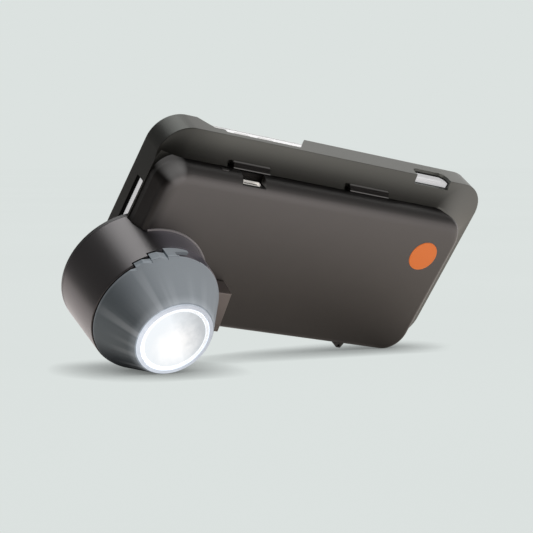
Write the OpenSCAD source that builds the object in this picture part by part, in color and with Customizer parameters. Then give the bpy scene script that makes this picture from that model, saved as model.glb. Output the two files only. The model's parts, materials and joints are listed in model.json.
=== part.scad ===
// Skin-surface microscope on a phone shell: an optical head with a lit contact cone,
// a slim instrument box clipped to a tray, and the phone whose camera looks through it.
// Sizes are millimetres. Each piece is drawn in the instrument's own axes, with the origin
// at the centre of the contact ring: X runs along the case, Y across it and Z along the
// optical axis, out of the window. A depth is a distance behind the contact plane, so it is
// -Z. lying() turns the instrument as it lies on a table, on its cone and one corner, Z up.

/* [Contact cone] */
// Outer radius of the contact ring
ring_r = 12.3; // [11.9:0.1:13.4]
// Height of the contact ring
ring_h = 0.8; // [0.6:0.1:1.2]
// Depth of the base of the cone
cone_depth = 14.3; // [13.4:0.1:16]
// Radius of the cone at its base
cone_base_r = 20.7; // [20.2:0.1:22]
// Wall of the cone, square to the optical axis
cone_wall = 1.9; // [1.6:0.1:2.3]
// Width of the contact ring
ring_w = 1.2; // [0.8:0.05:1.3]
// Thickness of the contact window
window_t = 1.6; // [1.2:0.1:2.2]
// Width of the lit ring round the window
light_ring_w = 1; // [0.8:0.05:1.3]
// Turn that frees the cone from its bayonet, in degrees
twist = 18; // [12:1:24]
// Direction of the middle step of the grip, in degrees from the case's length
grip_dir = 120; // [112:1:126]
// How far the hook of the grip reaches back over the housing
grip_reach = 3.8; // [3.3:0.1:4.2]
// Radial thickness of the grip
grip_t = 1.1; // [0.9:0.1:1.3]
// Number of steps that the grip rises in, each beside a scoop
step_count = 3; // [2:1:4]
// Angle between the steps, in degrees
step_pitch = 14.5; // [10:0.5:16]
// Length of a scoop along the edge
scoop_len = 3.2; // [2.4:0.1:4]
// Depth of a scoop at its wall
scoop_cut = 0.9; // [0.6:0.1:1.1]
// Arc of the hook at the end of the grip, in degrees
hook_arc = 24; // [20:1:28]
// Arc of the slot under the hook, in degrees
slot_arc = 15.5; // [10:0.5:17]
// Width of the slot under the hook
slot_w = 1.6; // [1.2:0.1:2]
// Arc of the shallow recess in the cone's edge beside the slot, in degrees
hollow_arc = 22; // [18:1:26]

/* [Optical head] */
// Step from the base of the cone out to the front of the housing
head_step = 0.1; // [0:0.1:0.6]
// Growth of the housing's radius from its front to its back
head_taper = 0.9; // [0.5:0.1:1.4]
// Depth of the back of the head
head_depth = 36.8; // [35.6:0.1:40]
// Wall of the housing
head_wall = 2; // [1.6:0.1:2.3]
// Thickness of the housing's front flange
head_flange_t = 2.6; // [2.4:0.1:3.2]
// Thickness of the rear cover
rear_cover_t = 1.2; // [1:0.1:1.6]
// How far the bayonet spigot lies inside the base of the cone
spigot_inset = 3.7; // [3.6:0.1:4.1]
// Wall of the bayonet spigot
spigot_wall = 1.8; // [1.4:0.1:2.2]
// Arc of a bayonet lug, in degrees
lug_arc = 12; // [8:1:16]
// Height of a bayonet lug above the spigot
lug_rise = 0.9; // [0.6:0.1:1]
// Radius of the lenses
lens_r = 8.5; // [7.6:0.1:8.6]
// Edge thickness of the lenses
lens_edge_t = 1.6; // [1.2:0.1:2.2]
// Radius of curvature of the lenses
lens_curve = 24; // [18:1:40]
// Share of the room behind the diodes' board that the spacer between the lenses takes
spacer_share = 0.432; // [0.36:0.01:0.5]
// Wall of the lens barrel
barrel_wall = 1.4; // [1:0.1:1.8]
// Radius of the camera window in the rear cover
camera_window_r = 6.8; // [6:0.1:7]
// Number of light-emitting diodes
led_count = 12; // [6:2:16]
// Distance of the ring of diodes from the inside of the spigot
led_inset = 2.4; // [2:0.1:2.8]
// Side of one diode
led_size = 1.7; // [1.2:0.1:2]
// Thickness of the diodes' board
led_board_t = 1; // [0.8:0.1:1.2]

/* [Instrument box] */
// Height of the box's face in front of the phone
face_rise = 10.5; // [9.8:0.1:11.6]
// Height of the crease between box and shell in front of the phone
crease_rise = 5; // [4.4:0.1:5.4]
// Width of the shell's shoulder past the box's end
shoulder_end = 8.2; // [5:0.1:12]
// Width of the shell's shoulder above the box
shoulder_top = 8.9; // [7.4:0.1:12]
// Step from the shell's outside in to the head end of the box
flush_step = 0.3; // [0.1:0.1:0.6]
// How far the box's lower side stands out of the shell
lower_step = 0.1; // [0:0.1:0.4]
// Slope of the box's end, as the inset of its face
end_slope = 0.5; // [0.3:0.1:2]
// Slope of the box's upper flank, as the inset of its face
flank_slope = 2.1; // [1.8:0.1:3.5]
// Draft of the box's head end
head_end_draft = 1.2; // [0.6:0.1:2]
// Draft of the box's lower side
lower_draft = 0.1; // [0.1:0.1:0.6]
// Corner radius of the box
box_corner_r = 8; // [7.2:0.1:10]
// Rounding of the edge of the box's face
face_edge_r = 2.2; // [1.2:0.1:2.6]
// Width of the rounding between the face and the upper flank
flank_round = 4.4; // [2.6:0.1:5]
// Wall of the box
box_wall = 1.8; // [1.4:0.1:2]
// Thickness of the box's base plate
base_t = 1.4; // [1.2:0.1:1.6]
// Share of the room beside the head that the battery's length takes
battery_share = 0.533; // [0.44:0.01:0.57]
// Room between the battery and the box's face
battery_room = 0.9; // [0.7:0.1:2]
// Thickness of the circuit board
board_t = 0.8; // [0.6:0.1:1]
// Radius of the badge on the face
badge_r = 5.2; // [4:0.1:6]
// Distance of the badge from the box's end
badge_from_end = 12; // [11:0.5:20]
// Distance of the badge from the crease
badge_from_crease = 15.5; // [14:0.5:22]
// Distance of the strap lug from the box's end
lug_from_end = 26.3; // [20:0.1:50]
// Width of the strap lug at its root
strap_lug_w = 4.8; // [3.6:0.1:7]
// How far the strap lug stands out
strap_lug_rise = 1.7; // [1.4:0.1:3]

/* [Controls and sockets] */
// Length of the mode slider's cap
slider_len = 15.4; // [12:0.2:15.6]
// Width of the mode slider's cap
slider_wid = 5.1; // [4.4:0.1:6]
// Height of the mode slider's cap above the face
slider_rise = 6.4; // [3:0.1:8]
// Travel of the mode slider
slider_travel = 3; // [2:0.1:4]
// Distance of the charging socket from the optical axis, along the case
socket_x = 22.5; // [20:0.5:32]
// Width of the charging socket
socket_w = 7.8; // [7:0.1:9]
// Height of the charging socket
socket_h = 2.7; // [2.4:0.1:2.8]
// Length of the charging socket
socket_len = 5.6; // [4.6:0.1:7]
// Width of the recess round the socket
recess_w = 11.8; // [11:0.1:14]
// Distance of the charge light from the optical axis, along the case
charge_x = 12; // [8:0.5:14]
// Length of the charge light
charge_w = 2.8; // [2:0.1:3.4]
// Radius of the charge light's ends
charge_r = 0.6; // [0.4:0.1:0.7]

/* [Phone shell] */
// Wall of the shell
shell_wall = 1.5; // [1.2:0.1:2.2]
// Thickness of the shell's front
shell_front_t = 1.8; // [1.4:0.1:2.2]
// Wall of the shell at its far end
end_wall = 2.1; // [1.5:0.1:2.6]
// Width of the flat strip round the shell's side
strip_w = 8.8; // [8:0.1:9.4]
// Thickness of the liner under the phone
liner_t = 0.5; // [0.4:0.1:0.8]
// Width of the lip beside the box at the crease
crease_lip = 0.6; // [0.4:0.1:1]
// Distance of the near clip from the optical axis, along the case
near_clip_x = 22.6; // [19:0.2:26]
// Length of the near clip, above the socket
near_clip_len = 14; // [12:0.2:18]
// Distance of the far clip from the box's end
far_clip_from_end = 40.7; // [38:0.1:50]
// Length of the far clip
far_clip_len = 16; // [12:0.2:20]
// Height of a clip above the crease
clip_rise = 0.5; // [0.4:0.1:1.2]

/* [Phone] */
// Length of the phone
phone_len = 123.8; // [120:0.1:130]
// Width of the phone
phone_wid = 58.6; // [56:0.1:62]
// Thickness of the phone
phone_t = 7.6; // [7.3:0.1:8.4]
// Corner radius of the phone
phone_corner_r = 8; // [7.4:0.1:10]
// Distance of the phone's camera from its end and from its side
camera_inset = 8.1; // [7.4:0.1:9]
// Gap round the phone in the shell
phone_gap = 0.4; // [0.3:0.05:0.6]
// How far the phone's glass stands out of the shell
phone_proud = 0.6; // [0.2:0.1:1]
// Thickness of the phone's glass
glass_t = 0.6; // [0.5:0.1:0.9]
// Wall of the phone's frame
frame_wall = 2.2; // [2:0.1:2.6]
// Length of a volume key
key_len = 6; // [4:0.1:7]
// Width of a key
key_wid = 2.2; // [1.8:0.1:2.6]
// Distance between the volume keys
key_pitch = 9; // [8:0.1:10]
// Distance of the first volume key from the optical axis, along the case
key_x = 20; // [17:0.5:24]
// How far a volume key stands out
key_rise = 0.45; // [0.3:0.05:0.6]
// Travel of a key
key_travel = 0.35; // [0.2:0.05:0.4]
// Travel of the mute switch
mute_travel = 1; // [0.6:0.1:1.2]

/* [Hidden] */
$fn = 96;

// Clearances: a seat within one body, a running fit, and a gap between bodies
fit = 0.1;
run = 0.07;
gap = 0.3;
// Overlap that makes one solid of two shapes, and a cut that passes right through
weld = 0.4;
through = 6;
// Thin slice of a blended form, and the segments of its corners
slice = 0.02;
slice_fn = 40;

// Depths from the head back to the phone, and from the phone forward to the box
phone_clear = 0.2;
phone_back = head_depth + phone_clear;
phone_front = phone_back + phone_t;
face_depth = phone_back - face_rise;
crease_depth = phone_back - crease_rise;
shell_back = phone_front - phone_proud;
strip_depth = shell_back - strip_w;
liner_front = phone_back - fit - liner_t;
box_back = liner_front - shell_front_t;
base_front = box_back - base_t;

// Share of the shoulder's height that its inner half falls
shoulder_hollow = 0.7;

// Plan outlines, as low and high corners
phone_lo = [-camera_inset, -camera_inset];
phone_hi = phone_lo + [phone_len, phone_wid];
shell_edge = phone_gap + shell_wall;
shell_lo = phone_lo - [shell_edge, shell_edge];
shell_hi = phone_hi + [phone_gap + end_wall, shell_edge];
shell_corner_r = phone_corner_r + shell_edge;
box_lo = shell_lo + [flush_step, -lower_step];
box_hi = shell_hi - [shoulder_end, shoulder_top];
face_lo = box_lo + [head_end_draft, lower_draft];
face_hi = box_hi - [end_slope, flank_slope];
crease_hi = box_hi + [crease_lip, crease_lip];
shoulder_depth = crease_depth + (strip_depth - crease_depth) * shoulder_hollow;
inner_lo = box_lo + [box_wall, box_wall];
inner_hi = box_hi - [box_wall, box_wall];
inner_face = face_depth + box_wall;

// Cone: radius at a depth, its bore and the seat of its window
cone_slope = (cone_base_r - ring_r) / cone_depth;
function cone_r(depth) = ring_r + cone_slope * depth;
window_recess = 0.2;
seat_depth = window_recess + window_t;
seat_r = ring_r - ring_w;
window_r = seat_r - light_ring_w - 2 * fit;
ledge_w = 0.8;
ledge_t = 1.2;
spigot_r = cone_base_r - spigot_inset;
bore_r = spigot_r + run;
bore_top = (bore_r + cone_wall - ring_r) / cone_slope;
grip_step = 0.15;
grip_r = cone_base_r - grip_step;
grip_in_r = cone_base_r - grip_t;
step_lap = 2;
function step_end(i) = grip_dir + ((step_count - 1) / 2 - i) * step_pitch;
function step_back(i) = cone_depth + grip_reach * (i + 1) / step_count;
hook_start = step_end(step_count - 1) - hook_arc;
scoop_tilt = atan(scoop_cut / scoop_len);
hollow_cut = 0.4;
hollow_h = 1.3;

// Bayonet: lugs on the spigot, grooves in the cone
lug_count = 3;
lug_t = 1.1;
lug_lip = 0.8;
lug_depth = cone_depth - lug_lip;
turn_gap = 1.2;

// Head: the housing tapers a little, and its pieces stack up from its flange and its cover
head_front_r = cone_base_r + head_step;
head_rear_r = head_front_r + head_taper;
head_front = cone_depth + gap;
head_back = head_depth - rear_cover_t;
head_in_r = head_front_r - head_wall;
head_cut_r = head_rear_r + 2 * fit;
function head_r(depth) =
    head_front_r + head_taper * (depth - head_front) / (head_back - head_front);
flange_back = head_front + head_flange_t;
bayonet_flange_t = 1;
bayonet_back = flange_back + bayonet_flange_t;
led_board_front = bayonet_back + 2 * fit;
led_board_back = led_board_front + led_board_t;
led_h = 0.7;
led_ring_r = spigot_r - spigot_wall - led_inset;
board_ledge = 1.2;
seal_t = 0.9;
seal_r = spigot_r + fit + seal_t;
boss_r = 2.2;
boss_len = 5;
boss_pitch_r = head_in_r - boss_r + weld;
boss_start = 60;
boss_count = 3;
screw_r = 0.75;
screw_head_r = 1.7;
screw_head_t = 0.5;
screw_len = 4;
tongue_t = 1;
tongue_w = 12;
tongue_len = 5.4;
tongue_screw = 3;
tongue_x = head_cut_r + tongue_len;
tongue_screw_x = head_cut_r + tongue_screw;
cable_w = 8;
cable_h = 2.4;
flex_t = 0.3;
flex_w = 6;
polariser_t = 0.4;
polariser_gap = 0.3;
polariser_lip = 0.9;
polariser_front = led_board_front - led_h - polariser_gap - polariser_t;

// Lens stack, from the rear cover forward
lens_rim = 0.9;
dome_r = lens_r - lens_rim;
dome_drop = sqrt(lens_curve * lens_curve - dome_r * dome_r);
barrel_r = lens_r + fit + barrel_wall;
barrel_foot = 2;
barrel_floor = 1.8;
rear_lens_back = head_back - barrel_floor;
spacer_back = rear_lens_back - lens_edge_t;
spacer_len = spacer_share * (head_back - led_board_back);
front_lens_back = spacer_back - spacer_len;
retainer_back = front_lens_back - lens_edge_t;
retainer_t = 1.2;
barrel_front = retainer_back - retainer_t;
rear_window_t = 0.6;
rear_window_lip = 0.7;

// Box: bosses, battery, board and what stands on the board
battery_end = 8.2;
battery_side = 3.6;
battery_top = 10.4;
battery_t = base_front - inner_face - battery_room;
battery_len = battery_share * (inner_hi[0] - head_cut_r);
battery_hi = inner_hi - [battery_end, battery_top];
battery_lo = [battery_hi[0] - battery_len, inner_lo[1] + battery_side];
post_h = 1.2;
post_r = 1.8;
board_back = base_front - post_h;
board_front = board_back - board_t;
board_gap = 6;
board_side = 1.4;
board_lo = [head_cut_r + fit, inner_lo[1] + board_side];
board_hi = [battery_lo[0] - board_gap, face_hi[1] - board_side];
arm_reach = 6;
arm_up = 2;
arm_lo = [charge_x - arm_reach, head_cut_r + arm_up];
cover_boss_r = 2.2;
boss_inset = 4.6;
boss_low = 1;
boss_drop = 3;
mid_boss_x = battery_lo[0] - board_gap / 2;
box_boss = [
    [inner_lo[0] + boss_inset, inner_hi[1] - boss_inset - boss_low],
    [mid_boss_x, inner_lo[1] + cover_boss_r + boss_low],
    [inner_hi[0] - boss_inset, inner_lo[1] + boss_inset],
    [inner_hi[0] - boss_inset, inner_hi[1] - boss_inset - boss_drop]
];
base_screw_recess = 0.7;
post_inset = 3;
post_clear = 3;
board_posts = [
    [tongue_x + post_clear + post_r, board_lo[1] + post_inset],
    [board_hi[0] - post_inset, board_lo[1] + post_inset],
    board_hi - [post_inset, post_inset],
    [arm_lo[0] + post_inset, board_hi[1] - post_inset]
];
chip_count = 3;
chip_w = 7;
chip_h = 1.2;
chip_edge = 5.5;
chip_first = 9;
chip_pitch = 9.5;
mouth_in = 0.6;
mouth_y = face_hi[1] - mouth_in;
charge_len = 3;
socket_skin = 0.35;
tongue_share = 0.7;
socket_tongue_t = 0.7;
charge_z = board_front - charge_r - 2 * fit;
flank_run = crease_depth - face_depth - face_edge_r;
function flank_y(depth) = box_hi[1] - flank_slope * (crease_depth - depth) / flank_run;

// Slider: its stem passes the cover and a foot holds it below
slider_gap = 0.7;
slider_up = 2.2;
slider_x = head_cut_r + slider_gap;
slider_low = face_lo[1] + slider_up;
slider_flare = 1.7;
slider_draft = 0.8;
stem_w = 2;
stem_x = slider_x + slider_wid / 2 - stem_w / 2;
stem_y = slider_low + slider_len / 2 - slider_travel / 2;
foot_w = 4;
foot_t = 0.5;
foot_depth = inner_face + gap + foot_t;
switch_w = 4.4;
switch_len = 10;
switch_h = board_front - foot_depth - gap;

badge_c = [box_hi[0] - badge_from_end, box_hi[1] - badge_from_crease];
badge_t = 0.4;
badge_sink = 0.25;
strap_x = box_hi[0] - lug_from_end;
strap_root = 1.2;
strap_t = 2.2;
strap_drop = 1.1;
strap_front = face_depth + strap_drop;
strap_tip = 0.45;
strap_eye = 0.8;

// Clips: a leg in the shell's shoulder, and a nose in a slot of the box below the crease
clip_leg = 1.7;
clip_fall = 1.5;
clip_leg_y = box_hi[1] + 2 * fit;
clip_root = box_back - fit;
clip_top = crease_depth - clip_rise;
clip_nose_t = 0.9;
clip_nose_drop = 0.6;
clip_nose = crease_depth + clip_nose_drop;
clip_bite = 1;
clip_room = 2.2;
far_clip_x = box_hi[0] - far_clip_from_end;
clip_spans = [
    [near_clip_x - near_clip_len / 2, near_clip_x + near_clip_len / 2],
    [far_clip_x - far_clip_len / 2, far_clip_x + far_clip_len / 2]
];

// Openings in the shell's side
window_from_end = 31.2;
window_drop = 5.3;
window_lo = [shell_hi[0] - window_from_end, strip_depth + window_drop];
window_len = 14.5;
window_in = 3.1;
window_corner = 1.6;
end_slot_y = [6, 32];
end_slot_top = 0.2;
end_slot_h = 4.1;
end_slot_depth = [strip_depth + end_slot_top, strip_depth + end_slot_top + end_slot_h];
key_cut_x = [3.5, 7.9, 11.9, 40.3, 45.2];
key_cut_drop = [0.4, 1.8];
key_cut_depth = [phone_back + key_cut_drop[0], phone_back + key_cut_drop[1]];
rim_w = 1;
power_y = 4.5;
power_len = 8;
power_room = 3;
plug_y = phone_wid / 2 - camera_inset;
plug_w = 16;
plug_depth = [phone_back + rim_w, shell_back - rim_w];

// Phone: frame, inner pieces and the pockets of its keys
frame_front = phone_front - glass_t;
frame_back_t = 1.2;
panel_t = 1.6;
cell_share = 0.565;
cell_side = 4;
pocket = 1.4;
key_gap = 0.15;
key_hold = 0.9;
key_root = key_rise + key_hold;
key_mid = phone_back + phone_t / 2;
power_rise = 0.2;
mute_x = 9.6;
mute_len = 2.6;
mute_wid = 1.6;
lens_ring_r = 4.2;
lens_ring_w = 0.8;
lens_ring_t = 0.6;
jack_w = 8;
jack_h = 2.6;
jack_deep = 1.4;

// Lying pose: the cone lies on one of its side lines, which sets the lean, and the lower
// corner of the box's face comes down to the same level, which sets the roll
cone_angle = atan(cone_slope);
corner_x = face_hi[0] - box_corner_r;
corner_y = face_lo[1] + box_corner_r;
corner_reach = (box_corner_r - face_edge_r) * cos(cone_angle) + face_edge_r;
corner_sum = corner_reach - ring_r * cos(cone_angle)
    - sin(cone_angle) * (face_depth + face_edge_r);
corner_span = cos(cone_angle) * norm([corner_x, corner_y]);
corner_turn = acos(corner_sum / corner_span) - atan2(corner_x, corner_y);
roll = asin(cos(cone_angle) * sin(corner_turn));
lean = asin(sin(cone_angle) / cos(roll));

module lying() {
    rotate([90 + lean, roll, 0]) children();
}

// Shapes that repeat

module at_depth(depth) {
    translate([0, 0, -depth]) children();
}

// Flat outline with round corners
module outline(lo, hi, r) {
    size = hi - lo;
    translate(lo + [r, 0]) square(size - [2 * r, 0]);
    translate(lo + [0, r]) square(size - [0, 2 * r]);
    for (x = [lo[0] + r, hi[0] - r], y = [lo[1] + r, hi[1] - r])
        translate([x, y]) circle(r);
}

// Plate with round corners between two depths
module plate(lo, hi, r, back, front) {
    at_depth(back) linear_extrude(back - front) outline(lo, hi, r);
}

module block(lo, hi, back, front) {
    at_depth(back) linear_extrude(back - front) translate(lo) square(hi - lo);
}

module disc(r, back, front) {
    at_depth(back) cylinder(r = r, h = back - front);
}

module tube(r_out, r_in, back, front) {
    difference() {
        disc(r_out, back, front);
        disc(r_in, back + through, front - through);
    }
}

// Part of a ring: r_in to r_out, between two depths, from an angle through an arc
module sector(r_in, r_out, back, front, start, arc) {
    rotate([0, 0, start]) rotate_extrude(angle = arc)
        translate([r_in, -back]) square([r_out - r_in, back - front]);
}

// Round-ended opening that runs along Y, in X and depth
module side_opening(lo, hi, r, y0, y1) {
    translate([0, y1, 0]) rotate([90, 0, 0]) linear_extrude(y1 - y0)
        outline([lo[0], -hi[1]], [hi[0], -lo[1]], r);
}

// Round-ended opening that runs along X, in Y and depth
module end_opening(lo, hi, r, x0, x1) {
    translate([x0, 0, 0]) rotate([90, 0, 90]) linear_extrude(x1 - x0)
        outline([lo[0], -hi[1]], [hi[0], -lo[1]], r);
}

// Screw at a point, with the back of its head at a depth and its shank pointing forward
module screw(p, back) {
    translate(p) {
        disc(screw_head_r, back, back - screw_head_t);
        disc(screw_r, back - screw_head_t + slice, back - screw_len);
    }
}

// The box's outside, or its inside when it is drawn in by the wall
module box_form(wall) {
    edge_r = face_edge_r;
    hull($fn = slice_fn) {
        plate(box_lo + [wall, wall], box_hi - [wall, wall], box_corner_r - wall,
            box_back + (wall > 0 ? through : 0), crease_depth, $fn = slice_fn);
        for (a = [0 : 30 : 90]) {
            drawn = wall + edge_r * (1 - cos(a));
            drawn_top = wall + flank_round * (1 - cos(a));
            top = face_depth + wall + edge_r * (1 - sin(a));
            plate(face_lo + [drawn, drawn], face_hi - [drawn, drawn_top],
                box_corner_r - drawn, top + slice, top, $fn = slice_fn);
        }
    }
}

// The shell's outside: a straight strip round the side and a hollow shoulder up to the crease
module shell_form() {
    hull($fn = slice_fn) {
        plate(shell_lo, shell_hi, shell_corner_r, shell_back, strip_depth, $fn = slice_fn);
        shoulder_slice();
    }
    hull($fn = slice_fn) {
        shoulder_slice();
        plate(shell_lo, crease_hi, box_corner_r + crease_lip,
            crease_depth + slice, crease_depth, $fn = slice_fn);
    }
}

// Slice of the shoulder where its slope changes
module shoulder_slice() {
    plate(shell_lo, (crease_hi + shell_hi) / 2, (box_corner_r + shell_corner_r) / 2,
        shoulder_depth + slice, shoulder_depth, $fn = slice_fn);
}

// Contact cone and what it carries

module cone_body() {
    inner = seat_depth + ledge_t;
    rotate_extrude() polygon([
        [window_r - ledge_w, -seat_depth],
        [window_r - ledge_w, -inner],
        [cone_r(inner) - cone_wall, -inner],
        [bore_r, -bore_top],
        [bore_r, -cone_depth],
        [cone_base_r, -cone_depth],
        [cone_r(ring_h), -ring_h],
        [seat_r, -ring_h],
        [seat_r, -seat_depth]
    ]);
}

module bayonet_groove(direction) {
    groove_out = bore_r + lug_rise + gap;
    groove_start = direction - lug_arc / 2 - turn_gap;
    sector(bore_r - weld, groove_out, lug_depth + gap, lug_depth - lug_t - gap,
        groove_start, lug_arc / 2 + twist);
    sector(bore_r - weld, groove_out + fit, cone_depth + through, lug_depth - lug_t - 2 * gap,
        groove_start + twist, lug_arc + 2 * turn_gap);
}

// The grip, or the room that it turns in: it rises in steps to the hook. It is grown by some
// room in depth and by an angle at its sides, and drawn out by the turn of the cone.
module grip_form(r_in, r_out, front, room, turn, side) {
    low = hook_start - turn - side;
    high = step_end(0) + side;
    difference() {
        sector(r_in, r_out, cone_depth + grip_reach + room, front, low, high - low);
        for (i = [0 : step_count - 2])
            sector(r_in - weld, r_out + weld, cone_depth + through, step_back(i) + room,
                step_end(i + 1) + side, high - step_end(i + 1) + step_lap);
    }
}

// Wedge that cuts a scoop into the edge: deepest at the wall of a step, running out beyond it
module scoop(direction) {
    rotate([0, 0, direction])
        translate([cone_base_r - scoop_cut, 0, -cone_depth - through])
            rotate([0, 0, -scoop_tilt]) cube([through, scoop_len + through, 2 * through]);
}

module contact_cone() {
    color("#6d777b") difference() {
        union() {
            cone_body();
            grip_form(grip_in_r, grip_r, cone_depth - weld, 0, 0, 0);
        }
        for (i = [0 : step_count - 1])
            scoop(step_end(i));
        sector(grip_in_r - weld, cone_base_r + through, cone_depth + slot_w,
            cone_depth - fit, hook_start - turn_gap, slot_arc + turn_gap);
        sector(cone_base_r - hollow_cut, cone_base_r + through,
            cone_depth + slice, cone_depth - hollow_h,
            hook_start + slot_arc - step_lap - hollow_arc, hollow_arc);
        for (i = [0 : lug_count - 1])
            bayonet_groove(i * 360 / lug_count);
    }
}

module contact_ring() {
    color("#b9c6cc") tube(ring_r, seat_r, ring_h, 0);
}

module light_ring() {
    color("#f4f8fa")
        tube(window_r + fit + light_ring_w, window_r + fit, seat_depth, window_recess);
}

module contact_window() {
    color("#eef6fb") disc(window_r, seat_depth, window_recess);
}

// Optical head

module at_bosses() {
    for (i = [0 : boss_count - 1])
        rotate([0, 0, boss_start + i * 360 / boss_count]) translate([boss_pitch_r, 0, 0])
            children();
}

module head_housing() {
    color("#1d1d1f") difference() {
        union() {
            difference() {
                at_depth(head_back)
                    cylinder(r1 = head_rear_r, r2 = head_front_r, h = head_back - head_front);
                disc(head_in_r, head_back + through, flange_back);
                disc(spigot_r + fit, flange_back + through, head_front - through);
            }
            tube(head_in_r + weld, head_in_r - board_ledge, led_board_back + board_ledge,
                led_board_back);
            intersection() {
                at_bosses() disc(boss_r, head_back, head_back - boss_len);
                disc(head_in_r + weld, head_back, head_front);
            }
            block([head_in_r + weld, -tongue_w / 2], [tongue_x, tongue_w / 2],
                base_front, base_front - tongue_t);
        }
        at_bosses() disc(screw_r + fit / 2, head_back + through, head_back - boss_len + fit);
        translate([tongue_screw_x, 0, 0])
            disc(screw_r + fit / 2, base_front + through, base_front - through);
        tube(seal_r + seal_t / 2 + fit, seal_r - seal_t / 2 - fit, head_front + seal_t,
            head_front - through);
        grip_form(grip_in_r - gap, head_rear_r + through, head_front - through, gap, twist,
            turn_gap);
        block([head_in_r - board_ledge, -cable_w / 2], [head_rear_r + through, cable_w / 2],
            board_front, board_front - cable_h);
    }
}

module bayonet_ring() {
    spigot_top = bore_top + gap;
    in_r = spigot_r - spigot_wall;
    color("#8f9498") difference() {
        union() {
            disc(spigot_r, bayonet_back, spigot_top);
            disc(head_in_r - fit, bayonet_back, flange_back);
            for (i = [0 : lug_count - 1])
                sector(spigot_r - weld, spigot_r + lug_rise, lug_depth, lug_depth - lug_t,
                    i * 360 / lug_count - lug_arc / 2, lug_arc);
        }
        disc(in_r, bayonet_back + through, polariser_front);
        disc(in_r - polariser_lip, bayonet_back, spigot_top - through);
    }
}

module cone_seal() {
    color("#101010") rotate_extrude() translate([seal_r, -head_front - seal_t / 2])
        circle(seal_t / 2);
}

module rear_cover() {
    color("#2a2a2c") difference() {
        disc(head_rear_r, head_depth, head_back);
        disc(camera_window_r, head_depth + through, head_back - through);
        disc(camera_window_r + rear_window_lip + fit, head_back + rear_window_t,
            head_back - through);
        at_bosses() disc(screw_r + fit, head_depth + through, head_back - through);
        at_bosses() disc(screw_head_r + fit, head_depth + through,
            head_depth - screw_head_t - fit);
    }
}

module rear_window() {
    color("#d8e6ea") disc(camera_window_r + rear_window_lip, head_back + rear_window_t,
        head_back);
}

module head_screws() {
    color("#b8bbbd") at_bosses() screw([0, 0], head_depth - fit);
}

// Lens with a flat rim and one domed face
module lens(back) {
    disc(lens_r, back, back - lens_edge_t);
    intersection() {
        at_depth(back - lens_edge_t + dome_drop) sphere(lens_curve);
        disc(dome_r, back, back - lens_edge_t - through);
    }
}

module lens_barrel() {
    color("#26272a") difference() {
        union() {
            disc(barrel_r, head_back, barrel_front);
            disc(barrel_r + barrel_foot, head_back, head_back - barrel_wall);
        }
        disc(dome_r, head_back + through, barrel_front - through);
        disc(lens_r + fit, rear_lens_back, barrel_front - through);
    }
}

module rear_lens() {
    color("#cfe3ea") lens(rear_lens_back);
}

module lens_spacer() {
    color("#3a3b3e") tube(lens_r, dome_r + fit, spacer_back, front_lens_back);
}

module front_lens() {
    color("#cfe3ea") lens(front_lens_back);
}

module lens_retainer() {
    color("#3a3b3e") tube(lens_r, dome_r + fit, retainer_back, barrel_front);
}

module led_board() {
    color("#245c3a") tube(head_in_r - fit, lens_r, led_board_back, led_board_front);
}

module leds() {
    color("#f6efc9") for (i = [0 : led_count - 1])
        rotate([0, 0, i * 360 / led_count])
            block([led_ring_r - led_size / 2, -led_size / 2],
                [led_ring_r + led_size / 2, led_size / 2],
                led_board_front, led_board_front - led_h);
}

module polariser_ring() {
    color("#4a4f52") tube(spigot_r - spigot_wall - fit, lens_r,
        polariser_front + polariser_t, polariser_front);
}

// Flexible strip from the diodes' board back along the wall and out to the circuit board
module led_flex() {
    riser_x = head_in_r - board_ledge - 4 * fit;
    end_x = stem_x + stem_w / 2 - switch_w / 2 - 2 * fit;
    color("#b87333") {
        block([riser_x - flex_t, -flex_w / 2], [riser_x, flex_w / 2],
            board_front, led_board_back);
        block([riser_x - flex_t, -flex_w / 2], [end_x, flex_w / 2],
            board_front, board_front - flex_t);
    }
}

// Instrument box

// Opening that follows the taper of the head
module head_cut(back, front) {
    at_depth(back)
        cylinder(r1 = head_r(back) + 2 * fit, r2 = head_r(front) + 2 * fit, h = back - front);
}

module slider_slot() {
    room = [gap, gap];
    block([stem_x, stem_y] - room,
        [stem_x + stem_w, stem_y + stem_w + slider_travel] + room,
        inner_face + through, face_depth - through);
}

module socket_cuts() {
    half = [recess_w / 2, socket_w / 2 + fit];
    block([socket_x - half[0], mouth_y], [socket_x + half[0], box_hi[1] + through],
        board_front + fit, face_depth - through);
    block([socket_x - half[1], mouth_y - socket_len - fit],
        [socket_x + half[1], mouth_y + fit], board_front + fit,
        board_front - socket_h - fit);
}

// Round-ended bar of the charge light, grown by some room, between two places across the case
module charge_bar(room, y0, y1) {
    half = [charge_w / 2 + room, charge_r + room];
    middle = [charge_x, charge_z];
    side_opening(middle - half, middle + half, charge_r + room - fit / 2, y0, y1);
}

// Trapezoid of the strap lug, grown by some room
module strap_outline(room) {
    half = strap_lug_w / 2 + room;
    top = face_lo[1] + strap_root + room;
    tip = face_lo[1] - strap_lug_rise;
    polygon([
        [strap_x - half, top],
        [strap_x - half, face_lo[1]],
        [strap_x + half * (1 - 2 * strap_tip), tip],
        [strap_x + half * (1 - strap_tip / 2), tip],
        [strap_x + half, face_lo[1]],
        [strap_x + half, top]
    ]);
}

module clip_pockets(room) {
    for (span = clip_spans)
        block([span[0] - room, box_hi[1] - clip_bite - room],
            [span[1] + room, box_hi[1] + through],
            clip_nose + clip_nose_t + room, clip_nose - room);
}

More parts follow.
